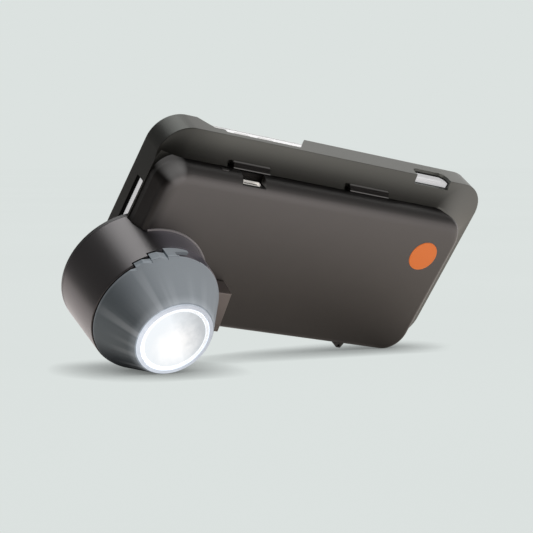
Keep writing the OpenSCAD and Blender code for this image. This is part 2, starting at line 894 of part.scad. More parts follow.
module box_cover() {
    color("#4f4b47") difference() {
        union() {
            difference() {
                box_form(0);
                box_form(box_wall);
            }
            intersection() {
                for (p = box_boss)
                    translate(p) disc(cover_boss_r, base_front, inner_face - weld);
                box_form(0);
            }
        }
        head_cut(box_back + through, face_depth - through);
        slider_slot();
        socket_cuts();
        charge_bar(fit, face_hi[1] - box_wall - through, box_hi[1]);
        clip_pockets(fit);
        for (p = box_boss)
            translate(p) disc(screw_r + fit / 2, base_front + through, inner_face);
        translate(badge_c) disc(badge_r + fit, face_depth + badge_sink, face_depth - through);
        at_depth(strap_front + strap_t + fit) linear_extrude(strap_t + 2 * fit)
            strap_outline(fit);
    }
}

module box_base() {
    edge = [fit, fit];
    color("#3b3937") difference() {
        union() {
            plate(inner_lo + edge, inner_hi - edge, box_corner_r - box_wall - fit,
                box_back, base_front);
            for (p = board_posts)
                translate(p) disc(post_r, base_front + weld, board_back);
        }
        disc(head_cut_r, box_back + through, board_back - through);
        for (p = box_boss) translate(p) {
            disc(screw_r + fit, box_back + through, base_front - through);
            disc(screw_head_r + fit, box_back + through, box_back - base_screw_recess);
        }
        translate([tongue_screw_x, 0, 0]) {
            disc(screw_r + fit, box_back + through, base_front - through);
            disc(screw_head_r + fit, box_back + through, box_back - base_screw_recess);
        }
    }
}

module box_screws() {
    head = box_back - fit;
    color("#b8bbbd") {
        for (p = box_boss) screw(p, head);
        translate([tongue_screw_x, 0, 0]) {
            disc(screw_head_r, head, head - screw_head_t);
            disc(screw_r, head - screw_head_t + slice, base_front - tongue_t);
        }
    }
}

module battery() {
    color("#aeb2b5") plate(battery_lo, battery_hi, battery_t / 2,
        base_front, base_front - battery_t);
}

module circuit_board() {
    color("#1f5a38") difference() {
        union() {
            block(board_lo, board_hi, board_back, board_front);
            block(arm_lo, [board_lo[0] + weld, board_hi[1]], board_back, board_front);
        }
        disc(head_cut_r + fit, board_back + through, board_front - through);
    }
}

module board_chips() {
    x = board_hi[0] - chip_edge;
    color("#191919") for (i = [0 : chip_count - 1]) {
        y = board_lo[1] + chip_first + i * chip_pitch;
        block([x - chip_w, y - chip_w / 2], [x, y + chip_w / 2],
            board_front, board_front - chip_h);
    }
}

module usb_socket() {
    half = socket_w / 2;
    color("#c9ccce") difference() {
        block([socket_x - half, mouth_y - socket_len], [socket_x + half, mouth_y],
            board_front, board_front - socket_h);
        block([socket_x - half + socket_skin, mouth_y - socket_len + socket_skin],
            [socket_x + half - socket_skin, mouth_y + through],
            board_front - socket_skin, board_front - socket_h + socket_skin);
    }
}

module usb_tongue() {
    half = socket_w / 2 * tongue_share;
    middle = board_front - socket_h / 2;
    color("#181818") block([socket_x - half, mouth_y - socket_len + socket_skin],
        [socket_x + half, mouth_y - socket_skin],
        middle + socket_tongue_t / 2, middle - socket_tongue_t / 2);
}

module charge_light() {
    color("#cfe8d4") charge_bar(0, face_hi[1] - charge_len, flank_y(charge_z) + fit);
}

module slide_switch() {
    middle = [stem_x + stem_w / 2, stem_y + (stem_w + slider_travel) / 2];
    half = [switch_w / 2, switch_len / 2];
    color("#c4c7c8") block(middle - half, middle + half, board_front, board_front - switch_h);
}

module badge() {
    color("#eb7f33") translate(badge_c)
        disc(badge_r, face_depth + badge_sink, face_depth + badge_sink - badge_t);
}

module strap_lug() {
    eye_y = face_lo[1] - strap_lug_rise / 2;
    color("#3a3836") difference() {
        at_depth(strap_front + strap_t) linear_extrude(strap_t) strap_outline(0);
        block([strap_x + strap_eye / 2, eye_y - strap_eye / 2],
            [strap_x + strap_eye * 3 / 2, eye_y + strap_eye / 2],
            strap_front + strap_t + through, strap_front - through);
    }
}

// Cap beside the head, its stem through the cover and the foot that holds it below
module mode_slider() {
    low = slider_low;
    high = slider_low + slider_len;
    right = slider_x + slider_wid;
    cap_back = face_depth - gap;
    color("#3a3836") union() {
        hull() {
            at_depth(cap_back) linear_extrude(slice)
                polygon([[slider_x, low], [right + slider_flare, low], [right, high],
                    [slider_x, high]]);
            at_depth(face_depth - slider_rise + slice) linear_extrude(slice)
                polygon([[slider_x, low + slider_draft / 2],
                    [right + slider_flare, low + slider_draft / 2],
                    [right, high - slider_draft], [slider_x, high - slider_draft]]);
        }
        block([stem_x, stem_y], [stem_x + stem_w, stem_y + stem_w],
            foot_depth, cap_back - weld);
        block([stem_x + stem_w / 2 - foot_w / 2, stem_y + stem_w / 2 - foot_w / 2],
            [stem_x + stem_w / 2 + foot_w / 2, stem_y + stem_w / 2 + foot_w / 2],
            foot_depth, foot_depth - foot_t);
    }
}

// Clip: its top falls away from the lip at the crease, as the shoulder beside it does
module clip(span) {
    back_y = clip_leg_y + clip_leg;
    nose_y = box_hi[1] - clip_bite;
    color("#4a4744") translate([span[0], 0, 0]) rotate([90, 0, 90])
        linear_extrude(span[1] - span[0]) polygon([
            [clip_leg_y, -clip_top],
            [back_y, -clip_top - clip_fall],
            [back_y, -clip_root],
            [clip_leg_y, -clip_root],
            [clip_leg_y, -clip_nose - clip_nose_t],
            [nose_y, -clip_nose - clip_nose_t],
            [nose_y, -clip_nose],
            [clip_leg_y, -clip_nose]
        ]);
}

module clip_left() {
    clip(clip_spans[0]);
}

module clip_right() {
    clip(clip_spans[1]);
}

// Phone shell

// Opening in the shell's upper side for the phone's keys: sloped ends, open at the back
module key_opening() {
    y0 = phone_hi[1] + fit;
    translate([0, y0 + through, 0]) rotate([90, 0, 0]) linear_extrude(through) polygon([
        [key_cut_x[0] - rim_w, -shell_back - rim_w],
        [key_cut_x[0], -shell_back],
        [key_cut_x[1], -key_cut_depth[1]],
        [key_cut_x[2], -key_cut_depth[1]],
        [key_cut_x[2], -key_cut_depth[0]],
        [key_cut_x[3], -key_cut_depth[0]],
        [key_cut_x[4], -shell_back],
        [key_cut_x[4] + rim_w, -shell_back - rim_w]
    ]);
}

module phone_shell() {
    room = [phone_gap, phone_gap];
    recess = [fit, fit];
    color("#4b4845") difference() {
        shell_form();
        plate(phone_lo - room, phone_hi + room, phone_corner_r + phone_gap,
            shell_back + through, liner_front);
        plate(shell_lo - [through, through], box_hi + recess, box_corner_r + fit,
            box_back, crease_depth - through);
        disc(head_cut_r, phone_back + fit, crease_depth - through);
        for (span = clip_spans)
            block([span[0] - clip_room, clip_leg_y - fit],
                [span[1] + fit, clip_leg_y + clip_leg + fit],
                clip_root, crease_depth - through);
        key_opening();
        side_opening([window_lo[0], crease_depth - through],
            [window_lo[0] + window_len, window_lo[1]],
            window_corner, shell_hi[1] - window_in, shell_hi[1] + through);
        end_opening([end_slot_y[0], end_slot_depth[0]], [end_slot_y[1], end_slot_depth[1]],
            fit, shell_lo[0] - through, phone_lo[0]);
        end_opening([power_y - power_len / 2 - power_room, end_slot_depth[0]],
            [power_y + power_len / 2 + power_room, shell_back - rim_w], rim_w,
            shell_lo[0] - through, phone_lo[0]);
        end_opening([plug_y - plug_w / 2, plug_depth[0]],
            [plug_y + plug_w / 2, plug_depth[1]], rim_w,
            phone_hi[0], shell_hi[0] + through);
    }
}

module shell_liner() {
    inset = 2.4;
    edge = [inset, inset];
    color("#262626") difference() {
        plate(phone_lo + edge, phone_hi - edge, phone_corner_r - inset,
            liner_front + liner_t, liner_front);
        disc(head_cut_r, liner_front + through, liner_front - through);
    }
}

// Phone

module phone_frame() {
    wall = [frame_wall, frame_wall];
    color("#c8cacc") difference() {
        plate(phone_lo, phone_hi, phone_corner_r, frame_front, phone_back);
        plate(phone_lo + wall, phone_hi - wall, phone_corner_r - frame_wall,
            frame_front + through, phone_back + frame_back_t);
        disc(lens_ring_r + fit, phone_back + lens_ring_t, phone_back - through);
        for (i = [0, 1])
            key_pocket(key_x + i * key_pitch, key_len, key_wid);
        key_pocket(mute_x, mute_len, mute_wid + 2 * mute_travel);
        end_opening([power_y - power_len / 2 - key_gap, key_mid - key_wid / 2 - key_gap],
            [power_y + power_len / 2 + key_gap, key_mid + key_wid / 2 + key_gap],
            key_wid / 2, phone_lo[0] - through, phone_lo[0] + pocket);
        end_opening([plug_y - jack_w / 2, key_mid - jack_h / 2],
            [plug_y + jack_w / 2, key_mid + jack_h / 2], jack_h / 2 - fit,
            phone_hi[0] - jack_deep, phone_hi[0] + through);
    }
}

// Pocket in the phone's upper side for a key of a given length and width
module key_pocket(x, len, wid) {
    r = min(len, wid) / 2;
    side_opening([x - len / 2 - key_gap, key_mid - wid / 2 - key_gap],
        [x + len / 2 + key_gap, key_mid + wid / 2 + key_gap], r,
        phone_hi[1] - pocket, phone_hi[1] + through);
}

module phone_glass() {
    edge = [fit, fit];
    color("#0c0d10") plate(phone_lo + edge, phone_hi - edge, phone_corner_r - fit,
        phone_front, frame_front);
}

module display_panel() {
    edge = [frame_wall + fit, frame_wall + fit];
    color("#1a1c22") plate(phone_lo + edge, phone_hi - edge,
        phone_corner_r - frame_wall - fit, frame_front, frame_front - panel_t);
}

module phone_battery() {
    middle = (phone_lo + phone_hi) / 2;
    half = [cell_share * phone_len / 2, phone_wid / 2 - frame_wall - cell_side];
    color("#2b2d30") plate(middle - half, middle + half, rim_w,
        frame_front - panel_t, phone_back + frame_back_t);
}

module phone_camera_ring() {
    color("#dcdedf") tube(lens_ring_r, lens_ring_r - lens_ring_w,
        phone_back + lens_ring_t, phone_back);
}

module phone_camera_lens() {
    color("#101418") disc(lens_ring_r - lens_ring_w - fit / 2, phone_back + lens_ring_t,
        phone_back + fit);
}

// Key on the phone's upper side, round-ended, reaching from its root to its rise
module side_key(x, len, wid, shift) {
    r = min(len, wid) / 2 - fit / 2;
    side_opening([x - len / 2, key_mid - wid / 2 + shift],
        [x + len / 2, key_mid + wid / 2 + shift], r,
        phone_hi[1] + key_rise - key_root, phone_hi[1] + key_rise);
}

module volume_up() {
    color("#d2d4d5") side_key(key_x, key_len, key_wid, 0);
}

module volume_down() {
    color("#d2d4d5") side_key(key_x + key_pitch, key_len, key_wid, 0);
}

module mute_switch() {
    color("#d2d4d5") side_key(mute_x, mute_len, mute_wid, -mute_travel / 2);
}

module power_button() {
    r = key_wid / 2 - fit / 2;
    color("#d2d4d5") end_opening([power_y - power_len / 2, key_mid - key_wid / 2],
        [power_y + power_len / 2, key_mid + key_wid / 2], r,
        phone_lo[0] - power_rise, phone_lo[0] - power_rise + key_root - key_travel);
}

lying() contact_cone();
lying() contact_ring();
lying() light_ring();
lying() contact_window();
lying() head_housing();
lying() bayonet_ring();
lying() cone_seal();
lying() rear_cover();
lying() rear_window();
lying() head_screws();
lying() lens_barrel();
lying() rear_lens();
lying() lens_spacer();
lying() front_lens();
lying() lens_retainer();
lying() led_board();
lying() leds();
lying() polariser_ring();
lying() led_flex();
lying() box_cover();
lying() box_base();
lying() box_screws();
lying() battery();
lying() circuit_board();
lying() board_chips();
lying() usb_socket();
lying() usb_tongue();
lying() charge_light();
lying() slide_switch();
lying() badge();
lying() strap_lug();
lying() mode_slider();
lying() clip_left();
lying() clip_right();
lying() phone_shell();
lying() shell_liner();
lying() phone_frame();
lying() phone_glass();
lying() display_panel();
lying() phone_battery();
lying() phone_camera_ring();
lying() phone_camera_lens();
lying() volume_up();
lying() volume_down();
lying() mute_switch();
lying() power_button();
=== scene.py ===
"""Looks of the phone-mounted skin microscope: pieces, finishes, studio and camera."""

import json
import math

import bmesh
import bpy
from mathutils import Matrix, Vector


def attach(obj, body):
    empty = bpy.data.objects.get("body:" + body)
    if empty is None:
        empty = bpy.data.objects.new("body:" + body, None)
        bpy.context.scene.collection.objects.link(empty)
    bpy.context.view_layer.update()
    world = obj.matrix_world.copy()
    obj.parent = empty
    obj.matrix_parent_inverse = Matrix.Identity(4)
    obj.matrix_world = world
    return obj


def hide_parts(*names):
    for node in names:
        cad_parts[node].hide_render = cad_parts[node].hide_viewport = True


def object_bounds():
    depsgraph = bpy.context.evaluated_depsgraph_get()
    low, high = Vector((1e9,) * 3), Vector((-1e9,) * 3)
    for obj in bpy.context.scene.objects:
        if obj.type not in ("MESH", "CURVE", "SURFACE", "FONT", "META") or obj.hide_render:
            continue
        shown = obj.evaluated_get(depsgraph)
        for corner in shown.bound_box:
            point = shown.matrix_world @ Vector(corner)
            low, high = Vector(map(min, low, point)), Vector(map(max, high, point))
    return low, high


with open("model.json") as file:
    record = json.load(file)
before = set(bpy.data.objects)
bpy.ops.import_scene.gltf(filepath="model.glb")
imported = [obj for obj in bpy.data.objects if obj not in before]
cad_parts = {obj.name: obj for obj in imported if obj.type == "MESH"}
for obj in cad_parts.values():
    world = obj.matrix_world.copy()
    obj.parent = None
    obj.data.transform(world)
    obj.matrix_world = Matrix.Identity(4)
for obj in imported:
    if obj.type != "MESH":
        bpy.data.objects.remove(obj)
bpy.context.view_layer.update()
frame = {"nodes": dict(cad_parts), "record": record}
scene = bpy.context.scene

MM = 0.001

# Sizes in millimetres, in the instrument's axes: X along the case, Y across, Z out of the window
RING_R = 12.3
RING_H = 0.8
CONE_DEPTH = 14.3
CONE_BASE_R = 20.7
WINDOW_R = 9.9
LIGHT_RING_W = 1.0
FIT = 0.1
SEAT_R = WINDOW_R + LIGHT_RING_W + 2 * FIT
RUN = 0.07
GAP = 0.3
SPIGOT_R = 17.0
HEAD_FRONT_R = 20.8
HEAD_REAR_R = 21.7
HEAD_DEPTH = 36.8
HEAD_WALL = 2.0
FACE_DEPTH = 26.5
CREASE_DEPTH = 32.0
FACE_EDGE_R = 2.2
BOX_CORNER_R = 8.0
CREASE_WIDE = 5.0
BOX_WALL = 1.8
PHONE_LO = (-8.1, -8.1)
PHONE_HI = (115.7, 50.5)
PHONE_CORNER_R = 8.0
PHONE_BACK = 37.0
PHONE_FRONT = 44.6
SHELL_LO = (-10.0, -10.0)
SHELL_HI = (118.2, 52.4)
SHELL_CORNER_R = 9.9
SHELL_BACK = 44.0
STRIP_DEPTH = 35.2
LINER_FRONT = 36.4
BOX_BACK = 34.6
BOX_LO = (-9.7, -10.1)
BOX_HI = (110.0, 43.5)
FACE_LO = (-8.5, -10.0)
FACE_HI = (109.5, 41.4)
BOARD_FRONT = 31.2
STEP_ENDS = (134.5, 120.0, 105.5)
HOOK_START = 81.5
GRIP_REACH = 3.8
GRIP_T = 1.1
SCOOP_LEN = 3.2
SCOOP_CUT = 0.9
SLOT_ARC = 15.5
SLOT_W = 1.6
TWIST = 18.0
TURN_GAP = 1.2
POWER = (0.5, 8.5)
POWER_ROOM = 3.0
WINDOW_SEAT = 1.8
WINDOW_SUNK = 0.2
COVER_T = 1.2
POST_R = 2.2
PILOT_R = 0.8
BOX_POSTS = ((-3.3, 36.1), (51.0, -5.1), (103.6, -3.7), (103.6, 34.1))
CLIPS = ((15.6, 29.6), (61.3, 77.3))
CLIP_NOSE = CREASE_DEPTH + 0.6
CLIP_ROOM = 2.2
CLIP_Y = BOX_HI[1] + 0.2
CLIP_TOP = CREASE_DEPTH - 0.5
CLIP_EDGES = ((CLIP_Y, CLIP_TOP), (CLIP_Y + 1.7, CLIP_TOP + 1.5))
SOCKET_X = 22.5
SOCKET_HALF = 3.9
SOCKET_LEN = 5.6
RECESS_HALF = 4.4
MOUTH_Y = FACE_HI[1] - 0.6
SLIDER_X = 22.6
SLIDER_LOW = FACE_LO[1] + 2.2
STEM_LO = (24.15, -1.6)
STEM_HI = (26.15, 0.4)
SLIDE = 3.0
BADGE_AT = (98.0, 28.0)
BADGE_R = 5.2
BADGE_SUNK = 0.25
CHARGE_AT = (12.0, BOARD_FRONT - 0.8)
CHARGE_HALF = (1.4, 0.6)
LUG_X = 83.7
LUG_HALF = 2.4
LUG_REACH = 1.7
LUG_ROOT = 1.2
LUG_DEPTHS = (29.8, 27.6)
# Openings of the shell, along or across the case and in depth
END_SLOT = (6.0, 35.4, 32.0, 39.5)
FAR_WINDOW = (87.0, 26.0, 101.5, 39.8)
PLUG_SLOT = (13.2, 38.0, 29.2, 43.0)
# The phone's keys: node, body, place, length, width, shift in depth, width of the opening
PHONE_MIDDLE = PHONE_BACK + 3.8
KEY_ROOM = 0.15
KEYS = (("volume_up", "volume_up_key", 20.0, 6.0, 2.2, 0.0, 2.2),
        ("volume_down", "volume_down_key", 29.0, 6.0, 2.2, 0.0, 2.2),
        ("mute_switch", "mute_key", 9.6, 2.6, 1.6, -0.5, 3.6))
# How far a cutter reaches past what it cuts
BEYOND = 6.0


def lying_matrix():
    """Instrument millimetres to the row frame in metres: it lies on its cone and one corner."""
    angle = math.atan((CONE_BASE_R - RING_R) / CONE_DEPTH)
    x = FACE_HI[0] - BOX_CORNER_R
    y = FACE_LO[1] + BOX_CORNER_R
    reach = (BOX_CORNER_R - FACE_EDGE_R) * math.cos(angle) + FACE_EDGE_R
    total = reach - RING_R * math.cos(angle) - math.sin(angle) * (FACE_DEPTH + FACE_EDGE_R)
    turn = math.acos(total / (math.cos(angle) * math.hypot(x, y))) - math.atan2(x, y)
    roll = math.asin(math.cos(angle) * math.sin(turn))
    lean = math.asin(math.sin(angle) / math.cos(roll))
    turned = Matrix.Rotation(roll, 4, "Y") @ Matrix.Rotation(math.pi / 2 + lean, 4, "X")
    return turned @ Matrix.Scale(MM, 4)


LYING = lying_matrix()
UPRIGHT = LYING.inverted()


# Meshes

def add(name, data):
    """Puts a mesh, a lamp or a camera into the scene."""
    obj = bpy.data.objects.new(name, data)
    scene.collection.objects.link(obj)
    return obj


def add_mesh(name, verts, faces):
    mesh = bpy.data.meshes.new(name)
    mesh.from_pydata([LYING @ Vector(v) for v in verts], [], faces)
    work = bmesh.new()
    work.from_mesh(mesh)
    bmesh.ops.remove_doubles(work, verts=work.verts, dist=1e-7)
    bmesh.ops.recalc_face_normals(work, faces=work.faces)
    work.to_mesh(mesh)
    work.free()
    return add(name, mesh)


def fillet(points, radius, steps=5):
    """A 2-D outline with its corners rounded; radius is one value or one for each point."""
    count = len(points)
    radii = radius if isinstance(radius, (list, tuple)) else [radius] * count
    out = []
    for i, point in enumerate(points):
        p = Vector(point)
        if radii[i] <= 0:
            out.append(tuple(p))
            continue
        a = Vector(points[i - 1]) - p
        b = Vector(points[(i + 1) % count]) - p
        half = a.angle(b) / 2
        reach = min(radii[i] / math.tan(half), a.length * 0.49, b.length * 0.49)
        a.normalize()
        b.normalize()
        r = reach * math.tan(half)
        centre = p + (a + b).normalized() * (r / math.sin(half))
        start = p + a * reach - centre
        end = p + b * reach - centre
        swing = start.angle_signed(end)
        for k in range(steps + 1):
            t = -swing * k / steps
            out.append((
                centre.x + start.x * math.cos(t) - start.y * math.sin(t),
                centre.y + start.x * math.sin(t) + start.y * math.cos(t),
            ))
    return out


def sweep(name, rings, closed=False):
    """Form through rings of points: joined end to end, or with a face over each end."""
    count = len(rings[0])
    total = len(rings)
    faces = []
    for i in range(total if closed else total - 1):
        a = i * count
        b = (i + 1) % total * count
        for k in range(count):
            m = (k + 1) % count
            faces.append((a + k, a + m, b + m, b + k))
    if not closed:
        faces.append(tuple(range(count))[::-1])
        faces.append(tuple(range((total - 1) * count, total * count)))
    return add_mesh(name, [point for ring in rings for point in ring], faces)


def polar(r, angle, depth):
    """A place about the optical axis."""
    return r * math.cos(angle), r * math.sin(angle), -depth


def lathe(name, profile, segments=192):
    """Closed (radius, depth) outline turned round the optical axis."""
    turns = [2 * math.pi * i / segments for i in range(segments)]
    return sweep(name, [[polar(r, a, d) for r, d in profile] for a in turns], True)


def sector(name, r_in, r_out, back, front, start, arc, segments=24, rise=0.0):
    """Part of a ring, as a cutter; its back can rise towards its start."""
    rings = []
    for i in range(segments + 1):
        a = math.radians(start + arc * i / segments)
        far = back + rise * (1 - i / segments)
        rings.append([polar(r, a, d) for r, d in rectangle(r_in, far, r_out, front)])
    return sweep(name, rings)


def bead(r, depth, thick, start, arc, segments=96, sides=16):
    """Round bead along an arc about the optical axis."""
    rings = []
    for i in range(segments + 1):
        a = math.radians(start + arc * i / segments)
        rings.append([polar(r + out, a, depth - up) for out, up in circle(0, 0, thick, sides)])
    return sweep("bead", rings)


def ring_points(lo, hi, r, wide=0.0, steps=20):
    """Rounded rectangle, the same number of points for every size; one corner can be wider."""
    points = []
    far = r + wide
    corners = (
        (hi[0] - r, lo[1] + r, -90, r), (hi[0] - far, hi[1] - far, 0, far),
        (lo[0] + r, hi[1] - r, 90, r), (lo[0] + r, lo[1] + r, 180, r),
    )
    for x, y, start, turn in corners:
        for k in range(steps + 1):
            a = math.radians(start + 90 * k / steps)
            points.append((x + turn * math.cos(a), y + turn * math.sin(a)))
    return points


def skin(name, rings):
    """Closed form through rings (points, depth) of as many points each, from back to front."""
    return sweep(name, [[(x, y, -depth) for x, y in points] for points, depth in rings])


def loft(name, rings):
    """Closed form through rounded rectangles (lo, hi, r, depth, more for one corner)."""
    return skin(name, [(ring_points(lo, hi, r, *wide), d) for lo, hi, r, d, *wide in rings])


def inset(lo, hi, d):
    """Corners of a rectangle that is drawn in on all sides."""
    return tuple(v + d for v in lo), tuple(v - d for v in hi)


def round_rim(lo, hi, r, depth, edge, steps, way):
    """Rings of a rounded edge: drawn in at a depth, full width further on in a way of 1 or -1."""
    rings = []
    for k in range(steps + 1):
        a = math.radians(90 * k / steps)
        d = edge * (1 - math.sin(a))
        rings.append((*inset(lo, hi, d), r - d, depth + way * edge * (1 - math.cos(a))))
    return rings


def circle(x, y, r, count=64):
    turns = [2 * math.pi * k / count for k in range(count)]
    return [(x + r * math.cos(t), y + r * math.sin(t)) for t in turns]


def prism(name, outline, axis, start, end):
    """Outline drawn along an axis. z: (x, y); y: (x, depth); x: (y, depth)."""
    place = {
        "z": lambda a, b, c: (a, b, -c),
        "y": lambda a, b, c: (a, c, -b),
        "x": lambda a, b, c: (c, a, -b),
    }[axis]
    count = len(outline)
    faces = [tuple(range(count)), tuple(range(count, 2 * count))[::-1]]
    for k in range(count):
        m = (k + 1) % count
        faces.append((k, k + count, m + count, m))
    return add_mesh(name, [place(a, b, c) for c in (start, end) for a, b in outline], faces)


def rectangle(a0, b0, a1, b1):
    return [(a0, b0), (a1, b0), (a1, b1), (a0, b1)]


def centred(a, b, long, wide, room=0.0):
    """Rectangle about a middle, with room all round."""
    return rectangle(a - long / 2 - room, b - wide / 2 - room, a + long / 2 + room, b + wide / 2 + room)


def block(name, lo, hi, back, front):
    return prism(name, rectangle(*lo, *hi), "z", back, front)


def applied(obj):
    """Turns an object's modifiers into its mesh."""
    bpy.context.view_layer.update()
    graph = bpy.context.evaluated_depsgraph_get()
    mesh = bpy.data.meshes.new_from_object(obj.evaluated_get(graph))
    old = obj.data
    obj.modifiers.clear()
    obj.data = mesh
    bpy.data.meshes.remove(old)


def boolean(obj, tool, operation):
    cut = obj.modifiers.new(operation, "BOOLEAN")
    cut.operation = operation
    cut.solver = "EXACT"
    cut.object = tool
    applied(obj)
    mesh = tool.data
    bpy.data.objects.remove(tool)
    bpy.data.meshes.remove(mesh)


def carve(obj, *cutters):
    for cutter in cutters:
        boolean(obj, cutter, "DIFFERENCE")


def soften(obj, width, segments=3, angle=30):
    """Rounds the sharp edges."""
    edge = obj.modifiers.new("edge", "BEVEL")
    edge.width = width * MM
    edge.segments = segments
    edge.limit_method = "ANGLE"
    edge.angle_limit = math.radians(angle)
    edge.miter_outer = "MITER_ARC"
    applied(obj)


def place_tag(obj):
    """Stores each vertex's place in the instrument's axes, in millimetres, for the finishes."""
    tag = obj.data.attributes.new("place", "FLOAT_VECTOR", "POINT")
    flat = []
    for vertex in obj.data.vertices:
        flat.extend(UPRIGHT @ vertex.co)
    tag.data.foreach_set("vector", flat)


def piece(obj, body, material, slot, *nodes, angle=32):
    """Finishes a form, hangs it on its body and hides the solids that it stands for."""
    for polygon in obj.data.polygons:
        polygon.use_smooth = True
    obj.data.set_sharp_from_angle(angle=math.radians(angle))
    even = obj.modifiers.new("even", "WEIGHTED_NORMAL")
    even.keep_sharp = True
    applied(obj)
    place_tag(obj)
    obj.data.materials.clear()
    obj.data.materials.append(material)
    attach(obj, body)
    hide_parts(*nodes)
    return obj


# Finishes

class Graph:
    """A shader tree under construction."""

    def __init__(self, tree):
        self.nodes = tree.nodes
        self.links = tree.links

    def node(self, kind, operation=None, **sockets):
        made = self.nodes.new("ShaderNode" + kind)
        if operation:
            made.operation = operation
        for name, value in sockets.items():
            made.inputs[name].default_value = value
        return made

    def link(self, source, target):
        self.links.new(source, target)

    def feed(self, socket, value):
        """Gives a socket a number, a colour or what another node puts out."""
        if isinstance(value, (int, float)):
            socket.default_value = value
        elif isinstance(value, tuple):
            socket.default_value = (*value, 1.0)
        else:
            self.link(value, socket)

    def vector(self, operation, vector, other):
        made = self.node("VectorMath", operation)
        made.inputs[1].default_value = other
        self.link(vector, made.inputs[0])
        return made.outputs["Value"]

    def bearing(self, x, y, centre=(0.0, 0.0)):
        """Unit vector in the plane, from a centre to a place."""
        out = self.node("CombineXYZ")
        for i, value in enumerate((x, y)):
            self.link(self.math("SUBTRACT", value, centre[i]), out.inputs[i])
        unit = self.node("VectorMath", "NORMALIZE")
        self.link(out.outputs[0], unit.inputs[0])
        return unit.outputs["Vector"]

    def aim(self, x, y, direction, centre=(0.0, 0.0)):
        """Cosine between a direction in degrees and the bearing of a place."""
        a = math.radians(direction)
        way = (math.cos(a), math.sin(a), 0.0)
        return self.vector("DOT_PRODUCT", self.bearing(x, y, centre), way)

    def split(self, vector):
        made = self.node("SeparateXYZ")
        self.link(vector, made.inputs[0])
        return tuple(made.outputs)

    def within(self, vector, low, high):
        """1 inside a box, 0 outside."""
        inside = 1.0
        for value, a, b in zip(self.split(vector), low, high):
            off = self.off(value, (a + b) / 2)
            inside = self.product(self.math("LESS_THAN", off, (b - a) / 2), inside)
        return inside

    def noise(self, vector, scale, detail=3.0, roughness=0.55):
        made = self.node("TexNoise", Scale=scale, Detail=detail, Roughness=roughness)
        self.link(vector, made.inputs["Vector"])
        return made.outputs["Fac"]

    def math(self, operation, a, b=None):
        made = self.node("Math", operation)
        for socket, value in zip(made.inputs, (a, b)):
            if value is not None:
                self.feed(socket, value)
        return made.outputs[0]

    def off(self, value, centre):
        return self.math("ABSOLUTE", self.math("SUBTRACT", value, centre))

    def product(self, first, *others):
        for other in others:
            first = self.math("MULTIPLY", first, other)
        return first

    def length(self, a, b):
        squares = self.math("ADD", self.product(a, a), self.product(b, b))
        return self.math("SQRT", squares)

    def span(self, value, low, high, out_low, out_high, kind="LINEAR"):
        """One range of values mapped to another, and held at its ends."""
        made = self.node("MapRange")
        made.interpolation_type = kind
        for i, x in enumerate((low, high, out_low, out_high)):
            made.inputs[i + 1].default_value = x
        self.link(value, made.inputs[0])
        return made.outputs[0]

    def ease(self, *values):
        """A span that starts and ends softly."""
        return self.span(*values, kind="SMOOTHSTEP")

    def mix(self, factor, a, b):
        made = self.node("Mix")
        made.data_type = "RGBA"
        for name, value in (("Factor", factor), ("A", a), ("B", b)):
            self.feed([s for s in made.inputs if s.name == name and s.enabled][0], value)
        return [s for s in made.outputs if s.enabled][0]


class Finish(Graph):
    """A procedural material under construction."""

    def __init__(self, name):
        self.material = bpy.data.materials.new(name)
        self.material.use_nodes = True
        super().__init__(self.material.node_tree)
        self.surface = self.nodes["Principled BSDF"]

    def place(self, tagged=True):
        if tagged:
            made = self.node("Attribute")
            made.attribute_name = "place"
            return made.outputs["Vector"]
        scale = self.node("VectorMath", "SCALE", Scale=1 / MM)
        self.link(self.node("TexCoord").outputs["Object"], scale.inputs[0])
        return scale.outputs["Vector"]

    def set(self, name, value):
        self.feed(self.surface.inputs[name], value)

    def gloss(self, plain, changing=None, tint=(1.0, 1.0, 1.0)):
        """Strength and tint of reflections; the plain strength stays on the socket for the export."""
        self.set("Specular IOR Level", plain)
        if changing is not None:
            self.set("Specular IOR Level", changing)
        self.set("Specular Tint", tint)

    def lit(self, colour, strength):
        self.set("Emission Color", colour)
        self.set("Emission Strength", strength)

    def bump(self, height, strength, distance):
        made = self.node("Bump", Strength=strength, Distance=distance * MM)
        self.link(height, made.inputs["Height"])
        self.link(made.outputs["Normal"], self.surface.inputs["Normal"])


